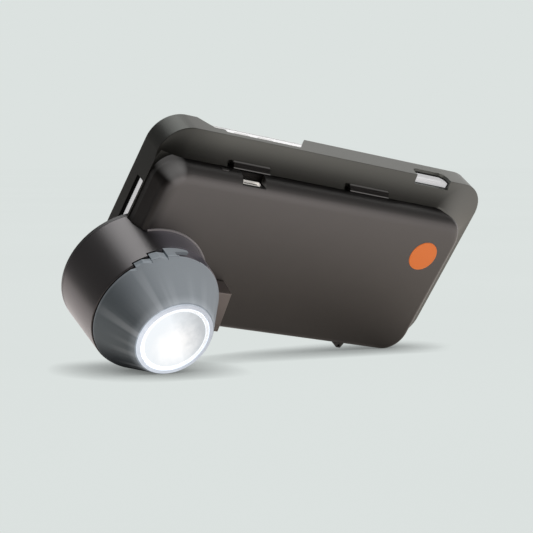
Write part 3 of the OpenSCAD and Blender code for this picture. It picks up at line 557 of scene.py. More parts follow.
def coated(name, colour, rough, tagged=True, spread=0.12, relief=0.25, metal=0.0, specular=0.5,
           tint=(1.0, 1.0, 1.0), painted_glow=0.0, shaded_pits=(), shade_fades=(), painted_light=None):
    """Plastic, coat or metal with a fine grain, a slow change of tone and uneven gloss.

    The walls of its openings, given as boxes, get painted shade: dull and dark. Shade fades
    (axis, from, to, share, share) paint shade on an end or an edge; painted light, a function of
    the place, lightens one, and a painted glow lights the whole surface."""
    f = Finish(name)
    where = f.place(tagged)
    slow = f.noise(where, 0.06, 2.0)
    fine = f.noise(where, 7.0, 4.0)
    shares = (1 - spread, 1 + spread, 1.18, 0.25)
    dark, light, speck, pit_shade = (tuple(c * k for c in colour) for k in shares)
    tone = f.mix(f.span(slow, 0.3, 0.7, 0, 1), dark, light)
    tone = f.mix(f.span(fine, 0.5, 0.75, 0, 0.5), tone, speck)
    shine = specular
    # Painted shade: dark, dull walls inside the openings
    for low, high in shaded_pits:
        inside = f.within(where, low, high)
        tone = f.mix(inside, tone, pit_shade)
        shine = f.product(f.span(inside, 0.0, 1.0, 1.0, 0.12), shine)
    # Painted shade towards an end or an edge
    for axis, *span in shade_fades:
        unshaded = f.ease(f.split(where)[axis], *span)
        tone = f.mix(unshaded, (0.0, 0.0, 0.0), tone)
        shine = f.product(unshaded, shine)
    f.set("Base Color", tone)
    f.set("Roughness", f.span(fine, 0.3, 0.7, rough * 0.9, min(1.0, rough * 1.12)))
    f.set("Metallic", metal)
    f.gloss(specular, shine, tint)
    # Painted light from a function of the place, or an even painted glow
    if painted_light:
        f.lit((1.0, 0.98, 0.96), painted_light(f, where))
    else:
        f.lit(colour, painted_glow)
    f.bump(fine, relief, 0.02)
    return f.material


def turned(name, colour, rough):
    """Turned metal with a fine, uneven gloss."""
    f = Finish(name)
    fine = f.noise(f.place(False), 3.0, 3.0)
    tone = f.mix(f.span(fine, 0.35, 0.65, 0, 1), tuple(c * 0.85 for c in colour), colour)
    f.set("Base Color", tone)
    f.set("Roughness", f.span(fine, 0.3, 0.7, rough * 0.8, rough * 1.2))
    f.set("Metallic", 1.0)
    f.bump(fine, 0.15, 0.01)
    return f.material


def clear(name, tint):
    """Polished glass with faint dust."""
    f = Finish(name)
    dust = f.noise(f.place(False), 2.5, 5.0)
    f.set("Base Color", tint)
    f.set("Transmission Weight", 1.0)
    f.set("IOR", 1.5)
    f.set("Roughness", f.span(dust, 0.45, 0.8, 0.03, 0.15))
    return f.material


# Painted light and shade on the cone: two painted streaks and the side with painted shade, in degrees
# about its axis, and the lit side
STREAKS = (135.5, 182.0)
STREAK_HALF = 5.5
CONE_SHADE = 256.0
CONE_LIT = (0.294, -0.862, 0.414)


def cone_finish():
    """Grey moulded cone with painted shade low down; painted light from the lit ring: a halo, faint
    streaks, a lighter upper side and a bright rim.
    """
    f = Finish("cone_grey")
    where = f.place()
    x, y, z = f.split(where)
    depth = f.math("MULTIPLY", z, -1.0)
    # Painted light from the lit ring: faint rays and two streaks, which also lighten the colour
    rays = f.noise(f.bearing(x, y), 3.2, 2.0, 0.6)
    painted_glow = f.product(f.ease(rays, 0.42, 0.66, 0.0, 1.0), f.ease(depth, 0.0, 12.0, 1.0, 0.0), 0.6)
    edge = math.cos(math.radians(STREAK_HALF))
    for direction in STREAKS:
        streak = f.product(f.ease(f.aim(x, y, direction), edge, 1.0, 0.0, 1.0),
                           f.span(depth, 0.0, 14.0, 1.0, 0.15))
        painted_glow = f.math("MAXIMUM", painted_glow, streak)
    fine = f.noise(where, 6.0, 4.0)
    base = f.mix(f.span(fine, 0.35, 0.7, 0, 1), (0.158, 0.196, 0.226), (0.192, 0.234, 0.266))
    # Painted shade low down: darker colour and weaker reflections
    low = f.ease(f.aim(x, y, CONE_SHADE), 0.72, 1.0, 0.0, 1.0)
    base = f.mix(f.product(low, f.span(depth, 2.0, 8.0, 0.4, 1.0)), base, (0.025, 0.04, 0.055))
    f.set("Base Color", f.mix(f.product(painted_glow, 0.5), base, (0.45, 0.48, 0.5)))
    f.set("Roughness", f.span(fine, 0.3, 0.7, 0.5, 0.64))
    f.gloss(0.5, f.span(low, 0.0, 1.0, 0.5, 0.1), (0.8, 0.93, 1.0))
    # Painted light: a halo by the ring, the upper side and the rim
    halo = f.ease(depth, 0.0, 3.5, 0.12, 0.0)
    facing = f.node("TexCoord").outputs["Normal"]
    upper = f.ease(f.vector("DOT_PRODUCT", facing, CONE_LIT), 0.15, 0.95, 0.0, 0.22)
    rim = f.product(f.ease(depth, CONE_DEPTH - 0.8, CONE_DEPTH - 0.5, 0.0, 0.045),
                    f.math("LESS_THAN", depth, CONE_DEPTH - 0.05))
    shine = f.product(painted_glow, 0.07)
    for light in (halo, upper, rim):
        shine = f.math("ADD", shine, light)
    f.lit((0.88, 0.94, 1.0), shine)
    f.bump(fine, 0.3, 0.02)
    return f.material


def window_finish():
    """Contact glass with the lamp behind it: burnt out low, greyer towards its upper edge."""
    f = Finish("window_lit")
    where = f.place()
    cloud = f.noise(where, 0.3, 3.0)
    blot = f.span(cloud, 0.3, 0.7, -1.1, 1.1)
    reach = f.math("ADD", f.vector("DISTANCE", where, (1.0, -1.8, -0.2)), blot)
    upper = f.math("ADD", f.vector("DOT_PRODUCT", where, (0.77, 0.64, 0.0)), blot)
    f.set("Base Color", (0.14, 0.15, 0.16))
    f.set("Roughness", f.span(cloud, 0.3, 0.7, 0.1, 0.22))
    f.lit(f.mix(f.span(reach, 3.0, 9.0, 0, 1), (1.0, 1.0, 1.0), (0.91, 0.96, 1.0)),
          f.product(f.ease(reach, 3.0, 8.5, 1.02, 0.92), f.span(upper, 0.0, 9.0, 0.98, 0.58)))
    return f.material


def edge_lit(name, colour, dim, bright):
    """Light guide, a little mottled: it glows more on the lower left."""
    f = Finish(name)
    where = f.place()
    cloud = f.noise(where, 0.6)
    side = f.vector("DOT_PRODUCT", where, (-0.707, -0.707, 0.0))
    f.set("Base Color", colour)
    f.set("Roughness", f.span(cloud, 0.3, 0.7, 0.15, 0.3))
    f.lit(colour, f.product(f.span(cloud, 0.3, 0.7, 0.92, 1.08), f.span(side, -10.0, 6.0, dim, bright)))
    return f.material


# Sides of the head, in degrees about its axis: towards the box, where light is painted, and away from it
# and low, where shade is painted
BAY = 50.0
HEAD_SHADE = 208.0


def head_finish():
    """Black satin coat with painted light in the bay between the housing and the box, and painted shade
    (weaker reflections) away from it.
    """
    f = Finish("head_black")
    where = f.place()
    fine = f.noise(where, 7.0, 4.0)
    x, y, _ = f.split(where)
    # Painted light in the bay towards the box: a paler colour and a painted glow
    bay_light = f.ease(f.aim(x, y, BAY), 0.45, 0.75, 0.0, 1.0)
    dark = f.mix(f.span(fine, 0.4, 0.7, 0, 1), (0.022, 0.02, 0.0215), (0.026, 0.024, 0.0255))
    f.set("Base Color", f.mix(bay_light, dark, (0.13, 0.118, 0.132)))
    f.lit((0.93, 0.88, 1.0), f.product(bay_light, 0.048))
    f.set("Roughness", f.span(fine, 0.3, 0.7, 0.3, 0.36))
    # Painted shade: weaker reflections on the low side away from the box
    f.gloss(1.0, f.span(f.aim(x, y, HEAD_SHADE), 0.2, 0.9, 1.0, 0.52), (1.0, 0.96, 0.975))
    f.bump(fine, 0.18, 0.02)
    return f.material


def clip_finish():
    """Moulded clip with painted highlights along its two long edges."""
    f = Finish("clip_grey")
    where = f.place()
    fine = f.noise(where, 7.0, 4.0)
    _, y, z = f.split(where)
    tone = f.mix(f.span(fine, 0.4, 0.7, 0, 1), (0.03, 0.028, 0.026), (0.036, 0.034, 0.032))
    # Painted highlights along the two long edges
    shine = 0.0
    for (edge_y, edge_depth), pale in zip(CLIP_EDGES, (0.12, 0.07)):
        off = f.length(f.math("SUBTRACT", y, edge_y), f.math("ADD", z, edge_depth))
        shine = f.math("ADD", f.ease(off, 0.2, 0.42, pale, 0.0), shine)
    f.set("Base Color", tone)
    f.lit((1.0, 0.97, 0.94), shine)
    f.set("Roughness", f.span(fine, 0.3, 0.7, 0.34, 0.42))
    f.gloss(1.0)
    f.bump(fine, 0.2, 0.02)
    return f.material


# Walls of the openings, where shade is painted, as boxes in the instrument's axes
BOX_SHADED_PITS = (((SOCKET_X - 4.5, MOUTH_Y - 0.5, -BOARD_FRONT - 0.3),
             (SOCKET_X + 4.5, MOUTH_Y + 0.25, -FACE_DEPTH - 1.2)),
            ((SOCKET_X - 4.5, MOUTH_Y - 0.2, -BOARD_FRONT - 0.4),
             (SOCKET_X + 4.5, BOX_HI[1] + 0.1, -BOARD_FRONT + 0.2)))
SHELL_SHADED_PITS = (((SHELL_LO[0] + 0.15, END_SLOT[0] - 0.5, -END_SLOT[3] - 0.2),
               (PHONE_LO[0] + 0.2, END_SLOT[2] + 0.5, -END_SLOT[1] + 0.2)),
              ((FAR_WINDOW[0] - 0.2, PHONE_HI[1] - 1.5, -FAR_WINDOW[3] - 0.4),
               (FAR_WINDOW[2] + 0.2, PHONE_HI[1] + 1.0, -STRIP_DEPTH - 0.4)))


def box_painted_light(f, where):
    """Painted highlights along the far edge of the face, on the flank and on its left corner."""
    x, y, z = f.split(where)
    far = (BOX_HI[0] - BOX_CORNER_R, BOX_HI[1] - BOX_CORNER_R)
    along = f.math("SUBTRACT", x, far[0])
    reach = f.length(f.math("MAXIMUM", f.math("SUBTRACT", y, far[1]), 0.0), along)
    start = FACE_HI[0] - far[0] - 1.3
    edge = f.product(f.ease(reach, start, start + 0.7, 0.0, 0.12), f.span(along, 1.0, 4.0, 0.0, 1.0))
    flank = f.product(f.span(y, FACE_HI[1] - 1.2, FACE_HI[1] + 0.2, 0.0, 1.0),
                      f.span(z, -FACE_DEPTH - 3.1, -FACE_DEPTH - 0.3, 0.0, 0.03))
    near = (BOX_LO[0] + BOX_CORNER_R, BOX_HI[1] - BOX_CORNER_R)
    out = f.vector("DISTANCE", where, (*near, -CREASE_DEPTH))
    corner = f.product(f.ease(f.aim(x, y, 128.0, near), 0.8, 1.0, 0.0, 0.13),
                       f.ease(out, BOX_CORNER_R - 2.0, BOX_CORNER_R, 0.0, 1.0),
                       f.ease(z, -CREASE_DEPTH + 0.1, -CREASE_DEPTH + 3.5, 0.5, 1.0))
    return f.math("ADD", f.math("MAXIMUM", edge, flank), corner)


def shell_painted_light(f, where):
    """Painted light on the far end of the shell."""
    return f.ease(f.split(where)[0], BOX_HI[0] - 13.0, BOX_HI[0], 0.0, 0.035)


DISPLAY_HALF = (45.0, 26.0)
HOME_IN = 8.4
HOME_R = 5.2


def screen_finish():
    """The phone's glass: a dark display in a white border, with a ring round the home key."""
    f = Finish("phone_black_glass")
    where = f.place()
    x, y, _ = f.split(where)
    middle = [(a + b) / 2 for a, b in zip(PHONE_LO, PHONE_HI)]
    dark = f.product(f.math("LESS_THAN", f.off(x, middle[0]), DISPLAY_HALF[0]),
                     f.math("LESS_THAN", f.off(y, middle[1]), DISPLAY_HALF[1]))
    home = f.vector("DISTANCE", where, (PHONE_HI[0] - HOME_IN, middle[1], -PHONE_FRONT))
    ring = f.math("LESS_THAN", f.off(home, HOME_R), 0.25)
    dust = f.noise(where, 2.5, 5.0)
    border = f.mix(ring, (0.8, 0.81, 0.8), (0.45, 0.45, 0.46))
    f.set("Base Color", f.mix(dark, border, (0.008, 0.008, 0.01)))
    f.set("Roughness", f.span(dust, 0.4, 0.8, 0.05, 0.12))
    return f.material


# Box and shell: painted shade in the openings, at the left end and along the box's crease, and painted
# light
BOX = coated("box_grey", (0.034, 0.03, 0.027), 0.4, specular=1.0, shaded_pits=BOX_SHADED_PITS,
             shade_fades=((0, BOX_LO[0] + 0.2, BOX_LO[0] + 6.7, 0.3, 1.0),
                    (1, BOX_HI[1] - 0.9, BOX_HI[1], 1.0, 0.42)), painted_light=box_painted_light)
SHELL = coated("shell_grey", (0.034, 0.033, 0.03), 0.4, specular=1.0, tint=(0.92, 0.98, 0.9),
               shaded_pits=SHELL_SHADED_PITS, shade_fades=((0, SHELL_LO[0], 14.0, 0.42, 1.0),), painted_light=shell_painted_light)
HEAD = head_finish()
TRIM = coated("trim_grey", (0.03, 0.028, 0.027), 0.4, specular=1.0)
CLIP = clip_finish()
# Painted highlight: light grey with a painted glow, for the bead round the head's opening
EDGE_HIGHLIGHT = coated("edge_painted_highlight", (0.34, 0.32, 0.325), 0.3, relief=0.1, specular=0.8, painted_glow=0.2)
CONE = cone_finish()
RING = edge_lit("ring_clear", (0.44, 0.475, 0.53), 0.85, 1.3)
LIGHT = edge_lit("light_white", (0.94, 0.97, 1.0), 0.64, 1.0)
WINDOW = window_finish()
# Painted glow lightens the phone's silver in the shaded openings of the shell
SILVER = coated("phone_silver", (0.72, 0.72, 0.73), 0.34, spread=0.04, relief=0.12, painted_glow=0.68)
KEY = coated("key_silver", (0.7, 0.7, 0.71), 0.3, metal=0.7, spread=0.05, relief=0.1)
SCREEN = screen_finish()
# Painted glow lightens the badge's orange
BADGE = coated("badge_orange", (0.83, 0.2, 0.035), 0.4, spread=0.06, relief=0.1, painted_glow=0.45)
# Painted glow on the socket and its contacts: painted glints
STEEL = coated("socket_steel", (0.8, 0.77, 0.73), 0.3, metal=0.3, relief=0.1, painted_glow=0.5)
CONTACT = coated("contact_plated", (0.92, 0.88, 0.82), 0.3, relief=0.1, painted_glow=0.75)
SLIDER = coated("slider_grey", (0.44, 0.39, 0.37), 0.4, specular=1.0)
CHIP = coated("chip_black", (0.015, 0.015, 0.015), 0.5)
CHARGE = coated("charge_clear", (0.17, 0.17, 0.165), 0.3, relief=0.05)

INNER = {
    "alloy": turned("alloy", (0.55, 0.57, 0.59), 0.3),
    "seal_rubber": coated("seal_rubber", (0.012, 0.012, 0.012), 0.6, False),
    "cover_black": coated("rear_cover_black", (0.03, 0.03, 0.031), 0.42, False),
    "optic_glass": clear("optic_glass", (0.93, 0.98, 1.0)),
    "screw_steel": turned("screw_steel", (0.62, 0.62, 0.63), 0.32),
    "barrel_black": coated("barrel_black", (0.02, 0.02, 0.022), 0.45, False),
    "board_green": coated("board_green", (0.02, 0.1, 0.05), 0.4, False, spread=0.2),
    "diode_yellow": coated("diode_yellow", (0.85, 0.75, 0.4), 0.3, False),
    "polariser_film": coated("polariser_film", (0.08, 0.085, 0.09), 0.2, False),
    "flex_copper": coated("flex_copper", (0.4, 0.17, 0.06), 0.35, False),
    "base_grey": coated("base_grey", (0.05, 0.048, 0.046), 0.5, False),
    "cell_foil": coated("cell_foil", (0.45, 0.46, 0.47), 0.35, False, metal=0.8),
    "chip_black": coated("board_chip_black", (0.015, 0.015, 0.015), 0.5, False),
    "socket_steel": coated("switch_steel", (0.6, 0.6, 0.59), 0.3, False, metal=1.0),
    "liner_black": coated("liner_black", (0.02, 0.02, 0.02), 0.8, False, relief=0.6),
    "phone_silver": coated("ring_silver", (0.72, 0.72, 0.73), 0.3, False, metal=0.8),
    "panel_black": coated("panel_black", (0.01, 0.01, 0.013), 0.2, False),
    "camera_glass": coated("camera_glass", (0.01, 0.012, 0.016), 0.05, False, relief=0.01),
}


# Contact cone

def grip_form(name, r_in, r_out, front, room, turn, side):
    """The grip, or the room that it turns in: it rises in steps to the hook."""
    low = HOOK_START - turn - side
    high = STEP_ENDS[0] + side
    obj = sector(name, r_in, r_out, CONE_DEPTH + GRIP_REACH + room, front, low, high - low, 90)
    for i, start in enumerate(STEP_ENDS[1:]):
        back = CONE_DEPTH + GRIP_REACH * (i + 1) / len(STEP_ENDS) + room
        carve(obj, sector("step", r_in - 0.5, r_out + 0.5, CONE_DEPTH + BEYOND + 2, back,
                          start + side, high - start + 2, 60))
    return obj


def scoop(direction):
    """Wedge that is deepest at the wall of a step and runs out along the edge."""
    a = math.radians(direction)
    out = Vector((math.cos(a), math.sin(a)))
    along = Vector((-math.sin(a), math.cos(a)))
    wall = (CONE_BASE_R - SCOOP_CUT) * out
    end = (CONE_BASE_R + SCOOP_CUT) * out + 2 * SCOOP_LEN * along
    points = [wall, wall + 5 * out, end + 5 * out, end]
    return prism("scoop", points, "z", CONE_DEPTH + BEYOND, CONE_DEPTH - BEYOND)


def make_cone():
    slope = (CONE_BASE_R - RING_R) / CONE_DEPTH
    bore_r = SPIGOT_R + RUN
    wall = 1.9
    bore_top = (bore_r + wall - RING_R) / slope
    shelf = WINDOW_SEAT + 1.2
    shelf_r = WINDOW_R - 0.8
    profile = [
        (shelf_r, WINDOW_SEAT), (shelf_r, shelf), (RING_R + slope * shelf - wall, shelf),
        (bore_r, bore_top), (bore_r, CONE_DEPTH), (CONE_BASE_R, CONE_DEPTH),
        (RING_R + slope * RING_H, RING_H), (SEAT_R, RING_H), (SEAT_R, WINDOW_SEAT),
    ]
    obj = lathe("cone", fillet(profile, [0, 0, 0, 0, 0.1, 0.3, 0.05, 0, 0]))
    grip = grip_form("grip", CONE_BASE_R - GRIP_T, CONE_BASE_R - 0.05, CONE_DEPTH - 0.6, 0, 0, 0)
    boolean(obj, grip, "UNION")
    for direction in STEP_ENDS:
        carve(obj, scoop(direction))
    carve(obj,
          sector("slot", CONE_BASE_R - 1.5, CONE_BASE_R + BEYOND, CONE_DEPTH + SLOT_W,
                 CONE_DEPTH - 0.1, HOOK_START - 2, SLOT_ARC + 2, rise=1.2),
          sector("hollow", CONE_BASE_R - 0.4, CONE_BASE_R + BEYOND, CONE_DEPTH + 0.3,
                 CONE_DEPTH - 1.3, HOOK_START + SLOT_ARC - 24, 22))
    soften(obj, 0.1, 2, 40)
    lug_back = CONE_DEPTH - 0.8
    lug_front = lug_back - 1.1
    lug_arc = 14.4
    for i in range(3):
        begin = i * 120 - lug_arc / 2
        carve(obj,
              sector("groove", bore_r - 0.4, bore_r + 1.2, lug_back + GAP, lug_front - GAP, begin, 24),
              sector("entry", bore_r - 0.4, bore_r + 1.3, CONE_DEPTH + BEYOND, lug_front - 2 * GAP,
                     begin + TWIST, lug_arc))
    piece(obj, "contact_head", CONE, "cone_grey", "contact_cone", angle=28)


def make_contact():
    ring = lathe("ring", fillet([(SEAT_R, RING_H), (SEAT_R, 0), (RING_R, 0), (RING_R, RING_H)],
                                [0, 0.1, 0.3, 0]))
    piece(ring, "contact_head", RING, "ring_clear", "contact_ring")
    inner = WINDOW_R + FIT
    for name, r_in, r_out, radii, *looks in (
            ("light", inner, inner + LIGHT_RING_W, [0, 0.25, 0.25, 0], LIGHT, "light_white", "light_ring"),
            ("window", 0, WINDOW_R, [0, 0, 0.2, 0], WINDOW, "window_glass", "contact_window")):
        profile = [(r_in, WINDOW_SEAT), (r_in, WINDOW_SUNK), (r_out, WINDOW_SUNK), (r_out, WINDOW_SEAT)]
        piece(lathe(name, fillet(profile, radii)), "contact_head", *looks)


# Optical head

HEAD_START = CONE_DEPTH + GAP
HEAD_END = HEAD_DEPTH - COVER_T
LEDGE = 20.4
LEDGE_W = 1.2
SEAL_R = (17.45, 18.55)
SEAL_DEEP = 0.9
POSTS_AT = 17.0
POST_LEN = 5.0
# The tongue that holds the head to the box, and the way for the cable
TONGUE_END = 27.3
TONGUE_HOLE = 24.9
TONGUE_DEPTHS = (33.2, 32.2)
CABLE_DEPTHS = (31.2, 28.8)


def head_r(depth):
    """Radius of the housing, which tapers a little, at a depth."""
    share = (depth - HEAD_START) / (HEAD_END - HEAD_START)
    return HEAD_FRONT_R + (HEAD_REAR_R - HEAD_FRONT_R) * share


def make_head():
    in_r = HEAD_FRONT_R - HEAD_WALL
    flange = HEAD_START + 2.6
    profile = [
        (HEAD_REAR_R, HEAD_END), (HEAD_FRONT_R, HEAD_START), (SPIGOT_R + FIT, HEAD_START),
        (SPIGOT_R + FIT, flange), (in_r, flange), (in_r, LEDGE), (in_r - LEDGE_W, LEDGE),
        (in_r - LEDGE_W, LEDGE + LEDGE_W), (in_r, LEDGE + LEDGE_W), (in_r, HEAD_END),
    ]
    obj = lathe("head", fillet(profile, [0.15, 0.35, 0.1, 0, 0, 0, 0, 0, 0, 0]), 256)
    carve(obj,
          grip_form("relief", CONE_BASE_R - GRIP_T - GAP, HEAD_REAR_R + BEYOND, HEAD_START - BEYOND,
                    GAP, TWIST, TURN_GAP),
          lathe("seal_groove", rectangle(SEAL_R[0], HEAD_START - 1, SEAL_R[1], HEAD_START + SEAL_DEEP)),
          block("cable", (in_r - 1.4, -4), (HEAD_REAR_R + BEYOND, 4), *CABLE_DEPTHS))
    boolean(obj, block("tongue", (in_r + 0.4, -6), (TONGUE_END, 6), *TONGUE_DEPTHS), "UNION")
    for i in range(3):
        x, y, _ = polar(POSTS_AT, math.radians(60 + 120 * i), 0)
        post = prism("post", circle(x, y, POST_R, 32), "z", HEAD_END - 0.01, HEAD_END - POST_LEN)
        boolean(obj, post, "UNION")
        carve(obj, prism("pilot", circle(x, y, PILOT_R, 16), "z", HEAD_END + 1, HEAD_END - POST_LEN + 0.1))
    carve(obj, prism("tongue_hole", circle(TONGUE_HOLE, 0, PILOT_R, 16), "z", 40, 30))
    piece(obj, "case", HEAD, "head_black", "head_housing", angle=28)


# Instrument box

def bezier(p0, p1, p2, p3, steps):
    """Points along a curve from p0 to p3."""
    out = []
    for k in range(steps + 1):
        t = k / steps
        s = 1 - t
        w = (s ** 3, 3 * s * s * t, 3 * s * t * t, t ** 3)
        out.append(tuple(w[0] * a + w[1] * b + w[2] * c + w[3] * d
                         for a, b, c, d in zip(p0, p1, p2, p3)))
    return out


# Curve of the upper flank, across the case and in depth, from the crease to the face
FLANK = ((BOX_HI[1], CREASE_DEPTH), (43.3, 29.6), (43.0, FACE_DEPTH), (37.6, FACE_DEPTH))


def box_rings(wall):
    """The box from its back to its face: straight to the crease, then drawn in to a round edge."""
    rings = []
    back = BOX_BACK + (3 if wall else 0)
    edge = FACE_EDGE_R
    start = FACE_DEPTH + edge
    flank = [(BOX_HI[1], back), (BOX_HI[1], CREASE_DEPTH + 0.3)] + bezier(*FLANK, 26)
    for y, depth in flank:
        draft = min(1.0, max(0.0, (CREASE_DEPTH - depth) / (CREASE_DEPTH - start)))
        up = min(edge, max(0.0, start - depth))
        drawn = wall + edge - math.sqrt(edge * edge - up * up)
        lo = tuple(BOX_LO[i] + draft * (FACE_LO[i] - BOX_LO[i]) + drawn for i in (0, 1))
        hi = (BOX_HI[0] + draft * (FACE_HI[0] - BOX_HI[0]) - drawn, y - wall)
        rings.append((lo, hi, BOX_CORNER_R - drawn, depth + (wall if depth < back else 0),
                      CREASE_WIDE * (1 - draft)))
    return rings


def make_box():
    obj = loft("box", box_rings(0.0))
    carve(obj, loft("inside", box_rings(BOX_WALL)))
    for x, y in BOX_POSTS:
        boolean(obj, prism("post", circle(x, y, POST_R, 32), "z", 33.2, 27.6), "UNION")
        carve(obj, prism("pilot", circle(x, y, PILOT_R, 16), "z", 36, 28.3))
    face_r = head_r(FACE_DEPTH)
    opening = ((head_r(45) + 0.2, 45), (face_r + 0.2, FACE_DEPTH + 0.4),
               (face_r + 0.7, FACE_DEPTH - 0.1), (face_r + 0.7, 20))
    carve(obj,
          skin("head_cut", [(circle(0, 0, r, 256), d) for r, d in opening]),
          block("recess", (SOCKET_X - RECESS_HALF, MOUTH_Y), (SOCKET_X + RECESS_HALF, 50),
                BOARD_FRONT + FIT, 20),
          block("socket_cut", (SOCKET_X - SOCKET_HALF - FIT, MOUTH_Y - SOCKET_LEN - FIT),
                (SOCKET_X + SOCKET_HALF + FIT, MOUTH_Y + FIT), BOARD_FRONT + FIT, 28.2),
          block("slot", (STEM_LO[0] - GAP, STEM_LO[1] - GAP),
                (STEM_HI[0] + GAP, STEM_HI[1] + SLIDE + GAP), 34, 20),
          prism("badge_cut", circle(*BADGE_AT, BADGE_R + FIT), "z", FACE_DEPTH + BADGE_SUNK, 20),
          prism("charge_cut", charge_outline(FIT), "y", 37.0, 46.0))
    for x0, x1 in CLIPS:
        carve(obj, block("clip_cut", (x0 - FIT, BOX_HI[1] - 1.1), (x1 + FIT, 50),
                         CLIP_NOSE + 1.0, CLIP_NOSE - FIT))
    carve(obj, prism("lug_cut", lug_outline(FIT), "z", LUG_DEPTHS[0] + FIT, LUG_DEPTHS[1] - FIT))
    soften(obj, 0.14, 2, 34)
    piece(obj, "case", BOX, "box_grey", "box_cover", angle=30)


def charge_outline(room):
    """The charge light's window, along the case and in depth."""
    a, b = CHARGE_HALF
    return fillet(centred(*CHARGE_AT, 2 * a, 2 * b, room), b + room - 0.05)


def lug_outline(room):
    """The strap lug: its root in the box, and a nose that leans to one side."""
    half = LUG_HALF + room
    y = FACE_LO[1]
    root = y + LUG_ROOT + room
    tip = y - LUG_REACH
    return [(LUG_X - half, root), (LUG_X - half, y), (LUG_X + half * 0.1, tip),
            (LUG_X + half * 0.775, tip), (LUG_X + half, y), (LUG_X + half, root)]


def socket_outline(wall):
    """The socket's mouth: its two corners towards the face are cut off."""
    x = SOCKET_HALF - wall
    low = BOARD_FRONT - wall
    high = BOARD_FRONT - 2.7 + wall
    return [(SOCKET_X - x, low), (SOCKET_X + x, low), (SOCKET_X + x, high + 1.3),
            (SOCKET_X + x - 1.0, high), (SOCKET_X - x + 1.0, high), (SOCKET_X - x, high + 1.3)]


def make_box_details():
    # Bead round the head's opening that carries a painted highlight
    line = bead(head_r(FACE_DEPTH) + 0.42, FACE_DEPTH, 0.36, -18, 127)
    piece(line, "case", EDGE_HIGHLIGHT, "box_grey")

    lug = prism("lug", lug_outline(0.0), "z", *LUG_DEPTHS)
    carve(lug, block("eye", (LUG_X + 0.4, FACE_LO[1] - 1.25), (LUG_X + 1.2, FACE_LO[1] - 0.45), 32, 25))
    soften(lug, 0.15)
    piece(lug, "case", TRIM, "trim_grey", "strap_lug")

    badge = prism("badge", circle(*BADGE_AT, BADGE_R, 128), "z", FACE_DEPTH + BADGE_SUNK,
                  FACE_DEPTH - 0.15)
    soften(badge, 0.08)
    piece(badge, "case", BADGE, "badge_orange", "badge")

    wall = 0.35
    inner = MOUTH_Y - SOCKET_LEN + wall
    socket = prism("socket", socket_outline(0.0), "y", MOUTH_Y - SOCKET_LEN, MOUTH_Y)
    carve(socket, prism("mouth", socket_outline(wall), "y", inner, 50))
    soften(socket, 0.06)
    piece(socket, "case", STEEL, "socket_steel", "usb_socket")
    springs = None
    for i in range(5):
        x = SOCKET_X + (i - 2) * 0.65
        strip = block("strip", (x - 0.2, MOUTH_Y - 4.6), (x + 0.2, MOUTH_Y - 0.3), 29.55, 29.25)
        soften(strip, 0.08, 2)
        if springs:
            boolean(springs, strip, "UNION")
        else:
            springs = strip
    piece(springs, "case", CONTACT, "socket_steel")
    half = SOCKET_HALF * 0.7
    tongue = block("tongue", (SOCKET_X - half, inner), (SOCKET_X + half, MOUTH_Y - wall), 30.2, 29.5)
    soften(tongue, 0.08)
    piece(tongue, "case", CHIP, "chip_black", "usb_tongue")
    light = prism("charge", charge_outline(0.0), "y", 38.4, 43.45)
    soften(light, 0.1)
    piece(light, "case", CHARGE, "charge_clear", "charge_light")


def make_slider():
    high = SLIDER_LOW + 15.4
    right = SLIDER_X + 5.1
    back = FACE_DEPTH - GAP
    rings = []
    for depth, draw in ((back, 0.0), (FACE_DEPTH - 6.4, 1.0)):
        low = SLIDER_LOW + 0.4 * draw
        top = high - 0.8 * draw
        rings.append([(SLIDER_X, low, -depth), (right + 1.7, low, -depth), (right, top, -depth),
                      (SLIDER_X, top, -depth)])
    obj = sweep("slider", rings)
    soften(obj, 0.35, 4)
    boolean(obj, block("stem", STEM_LO, STEM_HI, 29.1, back - 0.4), "UNION")
    boolean(obj, block("foot", *inset(STEM_LO, STEM_HI, -1.0), 29.1, 28.6), "UNION")
    piece(obj, "mode_slider_cap", SLIDER, "trim_grey", "mode_slider")


def make_clips():
    back = BOX_BACK - 0.1
    nose = BOX_HI[1] - 1.0
    hook = CLIP_NOSE + 0.9
    for name, (x0, x1) in zip(("clip_left", "clip_right"), CLIPS):
        outline = [*CLIP_EDGES, (CLIP_EDGES[1][0], back), (CLIP_Y, back), (CLIP_Y, hook),
                   (nose, hook), (nose, CLIP_NOSE), (CLIP_Y, CLIP_NOSE)]
        obj = prism(name + "_look", outline, "x", x0, x1)
        soften(obj, 0.22, 4)
        piece(obj, "case", CLIP, "clip_grey", name)


# Phone shell

def shell_rings():
    """The shell from its rear rim: straight strip, rounded ridge, then a cove up to the crease."""
    rings = round_rim(SHELL_LO, SHELL_HI, SHELL_CORNER_R, SHELL_BACK, 0.5, 4, -1)
    lip = 0.15
    width = (SHELL_HI[0] - BOX_HI[0] - lip, SHELL_HI[1] - BOX_HI[1] - lip)
    ridge = 0.12
    start = STRIP_DEPTH + 0.25
    path = []
    for k in range(9):
        a = math.radians(72 * k / 8)
        path.append((ridge * (1 - math.cos(a)), start - ridge * math.sin(a)))
    d0, z0 = path[-1]
    share = d0 / width[1]
    steps = 16
    rise = [math.tan(math.radians(8 + 30 * (k + 0.5) / steps)) for k in range(steps)]
    cove = [(share + (1 - share) * k / steps,
             z0 - (z0 - CREASE_DEPTH) * sum(rise[:k]) / sum(rise)) for k in range(steps + 1)]
    for d, depth in path:
        rings.append((SHELL_LO, tuple(v - d for v in SHELL_HI), SHELL_CORNER_R, depth))
    for s, depth in cove[1:]:
        hi = (SHELL_HI[0] - max(d0, s * width[0]), SHELL_HI[1] - s * width[1])
        r = SHELL_CORNER_R + (BOX_CORNER_R + lip - SHELL_CORNER_R) * s
        rings.append((SHELL_LO, hi, r, depth, CREASE_WIDE * s))
    return rings


